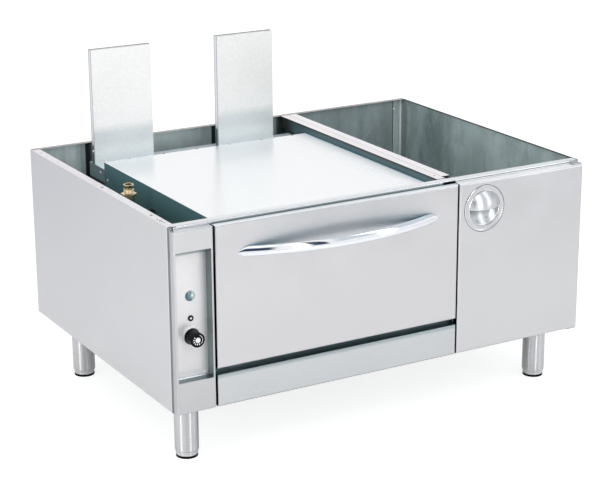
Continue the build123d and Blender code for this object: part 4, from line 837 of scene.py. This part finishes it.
# The brass fitting: a collar, a groove, a thread and two hexagons
def make_fitting():
    low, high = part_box("gas_inlet_fitting")
    centre = (low + high) / 2
    across = high.y - low.y
    top = high.z - low.z
    thread, bore, corner, pitch = 13.1 * MM, 10 * MM, 20.5 * MM, 2.0 * MM

    def outline(reach, level, angle):
        if 12.2 * MM < top - level < 22.2 * MM and reach > thread - 1.5 * MM:
            turns = level / pitch - angle / (2 * math.pi)
            return reach - 0.75 * MM * abs(2 * (turns % 1) - 1), level
        if reach > 15.5 * MM:
            spread = (angle + math.pi / 6) % (math.pi / 3) - math.pi / 6
            flat = across / 2 / math.cos(spread)
            return min(reach, flat * reach / corner), level
        return reach, level

    lower = 0.93 * corner
    profile = [(bore, 0.2 * MM), (15.9 * MM, 0.2 * MM), (lower, 0.3 * MM), (lower, 13.4 * MM),
               (17.2 * MM, 14 * MM), (14.9 * MM, 14.1 * MM), (14.9 * MM, top - 34.6 * MM),
               (17.6 * MM, top - 34.4 * MM), (corner, top - 33.2 * MM), (corner, top - 24.2 * MM),
               (17.6 * MM, top - 22.8 * MM), (12.6 * MM, top - 22.6 * MM)]
    for step in range(53):
        profile.append((thread, top - 22.5 * MM + step * 0.2 * MM))
    profile += [(12.2 * MM, top - 11.6 * MM), (12.2 * MM, top - 10.2 * MM), (12.9 * MM, top - 9.4 * MM),
                (thread, top - 8.8 * MM), (thread, top - 1.3 * MM), (thread - 1.0 * MM, top - 0.2 * MM),
                (bore + 0.7 * MM, top - 0.2 * MM), (bore, top - 0.9 * MM), (bore, 0.2 * MM)]
    lathed_piece("gas_fitting", profile, Matrix.Translation((centre.x, centre.y, low.z)), 96,
                 "brass", "body", "brass", 30, "gas_inlet_fitting", shape=outline)


# Screw heads with a cross recess, on what each one holds
def add_screw(bm, place, direction):
    radius, edge, height = 3.5 * MM, 0.9 * MM, 1.95 * MM
    arm, half_slot, slot_depth = 2.0 * MM, 0.42 * MM, 0.9 * MM

    def recess(reach, level, angle):
        x, y = abs(reach * math.cos(angle)), abs(reach * math.sin(angle))
        in_cross = reach < arm and min(x, y) < half_slot
        return reach, level - (slot_depth if in_cross else 0.0)

    profile = [(radius, 0), (radius, edge)]
    for step in range(1, 22):
        turn = math.pi / 2 * step / 21
        profile.append((max(radius * math.cos(turn), 0.05 * MM), edge + (height - edge) * math.sin(turn)))
    lathe(bm, profile, facing(place, direction), 48, recess)


def make_screws():
    low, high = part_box("panel_screws")
    flue_low, flue_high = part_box("flue_box")
    bm = bmesh.new()
    left = (-1, 0, 0)
    add_screw(bm, (casing_low.x, (duct_low.y + duct_high.y) / 2, rim_z - 6 * MM), left)
    add_screw(bm, (casing_low.x, flue_low.y + 25 * MM, flue_high.z - 14 * MM), left)
    add_screw(bm, (casing_low.x, casing_high.y - 20 * MM, flue_high.z - 26 * MM), left)
    for x in (low.x + 3.6 * MM, high.x - 3.6 * MM):
        add_screw(bm, (x, high.y, rim_z - 31 * MM), (0, -1, 0))
    finish_piece("screw_heads", bm, "bright_screw", "body", "fastener_steel", 45, "panel_screws")


# Spot welds on the casing's rear edge, marks and hole edges on the left rim, a scratch on the back wall
def flat_dot(bm, radius, height, shoulder, place):
    lathe(bm, [(radius, 0), (shoulder, height), (0.9 * MM, 0.1 * MM), (0.05 * MM, 0.06 * MM)],
          facing(place, (0, 0, 1)), 24)


def make_small_marks():
    bm = bmesh.new()
    for reach in (73.5, 175.5, 275.5, 377.5, 477.5, 575.5):
        place = (casing_low.x + reach * MM, casing_high.y - 4.5 * MM, casing_high.z)
        flat_dot(bm, 3.0 * MM, 0.18 * MM, 2.6 * MM, place)
    for reach, radius in ((57.4, 3.0 * MM), (72.0, 2.2 * MM)):
        place = (side_low.x + 9 * MM, front_y + reach * MM, rim_z)
        flat_dot(bm, radius, 0.16 * MM, 0.87 * radius, place)
    finish_piece("spot_welds", bm, "weld_metal", "body", "fastener_steel", 60)

    bm = bmesh.new()
    inner, outer = 2.4 * MM, 3.3 * MM
    ring = [(inner, -0.3 * MM), (inner, 0.14 * MM), (outer, 0.14 * MM), (outer + 0.1 * MM, -0.1 * MM),
            (inner, -0.3 * MM)]
    for reach in (110, 395):
        place = (side_low.x + 11 * MM, front_y + reach * MM, rim_z)
        lathe(bm, ring, facing(place, (0, 0, 1)), 32)
    finish_piece("rim_hole_edges", bm, "weld_metal", "body", "fastener_steel", 60)

    bm = bmesh.new()
    width, lift = 0.9 * MM, 0.12 * MM
    start = Vector((right_high.x - 138.2 * MM, back_high.y - 1.25 * MM, rim_z - 111.5 * MM))
    end = Vector((right_high.x - 108.9 * MM, back_high.y - 1.25 * MM, rim_z - 85.6 * MM))
    along = end - start
    across = Vector((along.z, 0, -along.x)).normalized() * width / 2
    rings = []
    for share in (0, 0.02, 0.98, 1):
        middle = start + along * share
        thin = 0.15 if share in (0, 1) else 1.0
        up = Vector((0, -lift * thin, 0))
        rings.append([middle - across * thin, middle - across * 0.4 * thin + up,
                      middle + across * 0.4 * thin + up, middle + across * thin])
    skin_rings(bm, rings, close_ends=True)
    finish_piece("wall_scratch", bm, "fastener", "body", "galvanised", 60)


def make_corner_tab():
    """The bent end of the side's flange that closes the corner of the rim, dark all over as painted shade.
    """
    bm = bmesh.new()
    low = Vector((side_low.x + 1.6 * MM, front_y - 0.9 * MM, rim_z - 9.2 * MM))
    size, depth = 9.6 * MM, 3 * MM
    rings = []
    for inset, y in ((0.0, depth), (0.0, 0.8 * MM), (0.4 * MM, 0.2 * MM), (1.2 * MM, 0.0),
                     (3.2 * MM, 0.25 * MM)):
        ring = []
        for index in range(32):
            angle = 2 * math.pi * index / 32
            across, up = math.cos(angle), math.sin(angle)
            reach = (size / 2 - inset) / max(abs(across), abs(up)) ** 0.8
            ring.append(low + Vector((size / 2 + reach * across, y, size / 2 + reach * up)))
        rings.append(ring)
    skin_rings(bm, rings, close_ends=True)
    finish_piece("corner_tab", bm, "corner_painted_shade", "body", "stainless_satin", 40)


make_handle()
make_cup()
make_knob()
make_bezel()
make_button()
make_lens()
make_fitting()
make_screws()
make_small_marks()
make_corner_tab()


# Camera, floor, lights and world
def make_camera():
    data = bpy.data.cameras.new("camera")
    data.sensor_width = SENSOR_WIDTH
    data.lens = FOCAL_PIXELS / IMAGE_WIDTH * SENSOR_WIDTH
    camera = add_object("camera", data)
    turn = Matrix.Rotation(math.radians(CAMERA_AZIMUTH), 4, "Z")
    tilt = Matrix.Rotation(math.radians(90 - CAMERA_ELEVATION), 4, "X")
    roll = Matrix.Rotation(math.radians(CAMERA_ROLL), 4, "Z")
    camera.matrix_world = Matrix.Translation(CAMERA_PLACE) @ turn @ tilt @ roll
    bpy.context.scene.camera = camera


def seen_directly(tree):
    """One for camera, glossy and transmission rays, which see the white background."""
    path = tree.nodes.new("ShaderNodeLightPath")
    either = arithmetic(tree, "MAXIMUM", path.outputs["Is Camera Ray"], path.outputs["Is Glossy Ray"])
    return arithmetic(tree, "MAXIMUM", either, path.outputs["Is Transmission Ray"]), path


def make_floor():
    bm = bmesh.new()
    bmesh.ops.create_grid(bm, x_segments=1, y_segments=1, size=8.0)
    mesh = bpy.data.meshes.new("floor")
    bm.to_mesh(mesh)
    bm.free()
    tree, shader, _ = new_material("floor_white")
    glow = tree.nodes.new("ShaderNodeEmission")
    seen, path = seen_directly(tree)
    level = blended(tree, path.outputs["Is Glossy Ray"], 0.80, 0.06)
    colour = mixed(tree, path.outputs["Is Glossy Ray"], (0.36, 0.36, 0.36), (0.84, 0.84, 0.84))
    fill(shader, Base_Color=colour, Roughness=0.9, Specular_IOR_Level=0.0)
    fill(glow, Strength=arithmetic(tree, "MULTIPLY", seen, level))
    both = tree.nodes.new("ShaderNodeAddShader")
    set_input(both.inputs[0], shader.outputs["BSDF"])
    set_input(both.inputs[1], glow.outputs["Emission"])
    fill(tree.nodes["Material Output"], Surface=both.outputs["Shader"])
    mesh.materials.append(made["floor_white"])
    floor = add_object("floor", mesh)


def area_light(name, place, target, size, power):
    data = bpy.data.lights.new(name, "AREA")
    data.shape = "RECTANGLE"
    data.size, data.size_y = size
    data.energy = power
    light = add_object(name, data)
    light.location = place
    light.rotation_mode = "QUATERNION"
    light.rotation_quaternion = (Vector(target) - Vector(place)).to_track_quat("-Z", "Y")
    light.visible_camera = False


def make_world():
    """White all round. Glossy faces also see two dark panels behind the camera and a pale blue side."""
    world = bpy.data.worlds.new("studio")
    bpy.context.scene.world = world
    world.use_nodes = True
    tree = world.node_tree
    soft = fill(tree.nodes["Background"], Color=(0.86, 0.87, 0.89))
    white = tree.nodes.new("ShaderNodeBackground")
    seen, path = seen_directly(tree)
    coordinates = tree.nodes.new("ShaderNodeTexCoord")
    parts = fill(tree.nodes.new("ShaderNodeSeparateXYZ"), Vector=coordinates.outputs["Generated"])
    dim = 0.0
    pale = arithmetic(tree, "MULTIPLY", ranged(tree, parts.outputs["X"], 0, 1, 0.34, 0.40),
                      ranged(tree, parts.outputs["Z"], 0, 1, 0.10, 0.18))
    for turn, half_width, top, is_pale in ((-19.0, 16.0, (0.38, 0.46), True),
                                           (15.5, 3.8, (0.76, 0.84), False)):
        turn = math.radians(turn)
        sideways = tree.nodes.new("ShaderNodeVectorMath")
        sideways.operation = "DOT_PRODUCT"
        set_input(sideways.inputs[0], coordinates.outputs["Generated"])
        set_input(sideways.inputs[1], (math.cos(turn), math.sin(turn), 0))
        reach = arithmetic(tree, "ABSOLUTE", sideways.outputs["Value"], 0)
        edge = math.sin(math.radians(half_width))
        panel = ranged(tree, reach, 1, 0, edge * 0.8, edge)
        panel = arithmetic(tree, "MULTIPLY", panel, ranged(tree, parts.outputs["Z"], 0, 1, 0.02, 0.08))
        if is_pale:
            pale = arithmetic(tree, "MAXIMUM", pale, panel)
        panel = arithmetic(tree, "MULTIPLY", panel, ranged(tree, parts.outputs["Z"], 1, 0, *top))
        panel = arithmetic(tree, "MULTIPLY", panel, ranged(tree, parts.outputs["Y"], 1, 0, -0.1, 0.0))
        dim = arithmetic(tree, "MAXIMUM", dim, panel)
    dim = arithmetic(tree, "MULTIPLY", dim, path.outputs["Is Glossy Ray"])
    pale = arithmetic(tree, "MULTIPLY", pale, path.outputs["Is Glossy Ray"])
    pale = arithmetic(tree, "MULTIPLY", pale, ranged(tree, parts.outputs["Y"], 1, 0, 0.55, 0.70))
    studio = mixed(tree, pale, (1, 1, 1), (0.66, 0.71, 0.76))
    fill(white, Color=mixed(tree, dim, studio, (0.03, 0.05, 0.09)))
    mix = fill(tree.nodes.new("ShaderNodeMixShader"), Fac=seen)
    set_input(mix.inputs[1], soft.outputs["Background"])
    set_input(mix.inputs[2], white.outputs["Background"])
    fill(tree.nodes["World Output"], Surface=mix.outputs["Shader"])


make_camera()
make_floor()
make_world()
area_light("key", (-1.2, -2.6, 3.4), (0, 0, 0.4), (2.2, 1.8), 12)
area_light("left_strip", (-3.05, -0.85, 1.5), (-0.4, -0.1, 0.45), (0.26, 3.0), 24)
area_light("front_strip", (0.10, -3.25, 1.5), (0.0, -0.3, 0.45), (0.26, 3.0), 24)
area_light("right_strip", (1.9, -2.2, 1.6), (0.2, -0.4, 0.5), (0.50, 2.8), 9)

bpy.context.scene.view_settings.view_transform = "Standard"
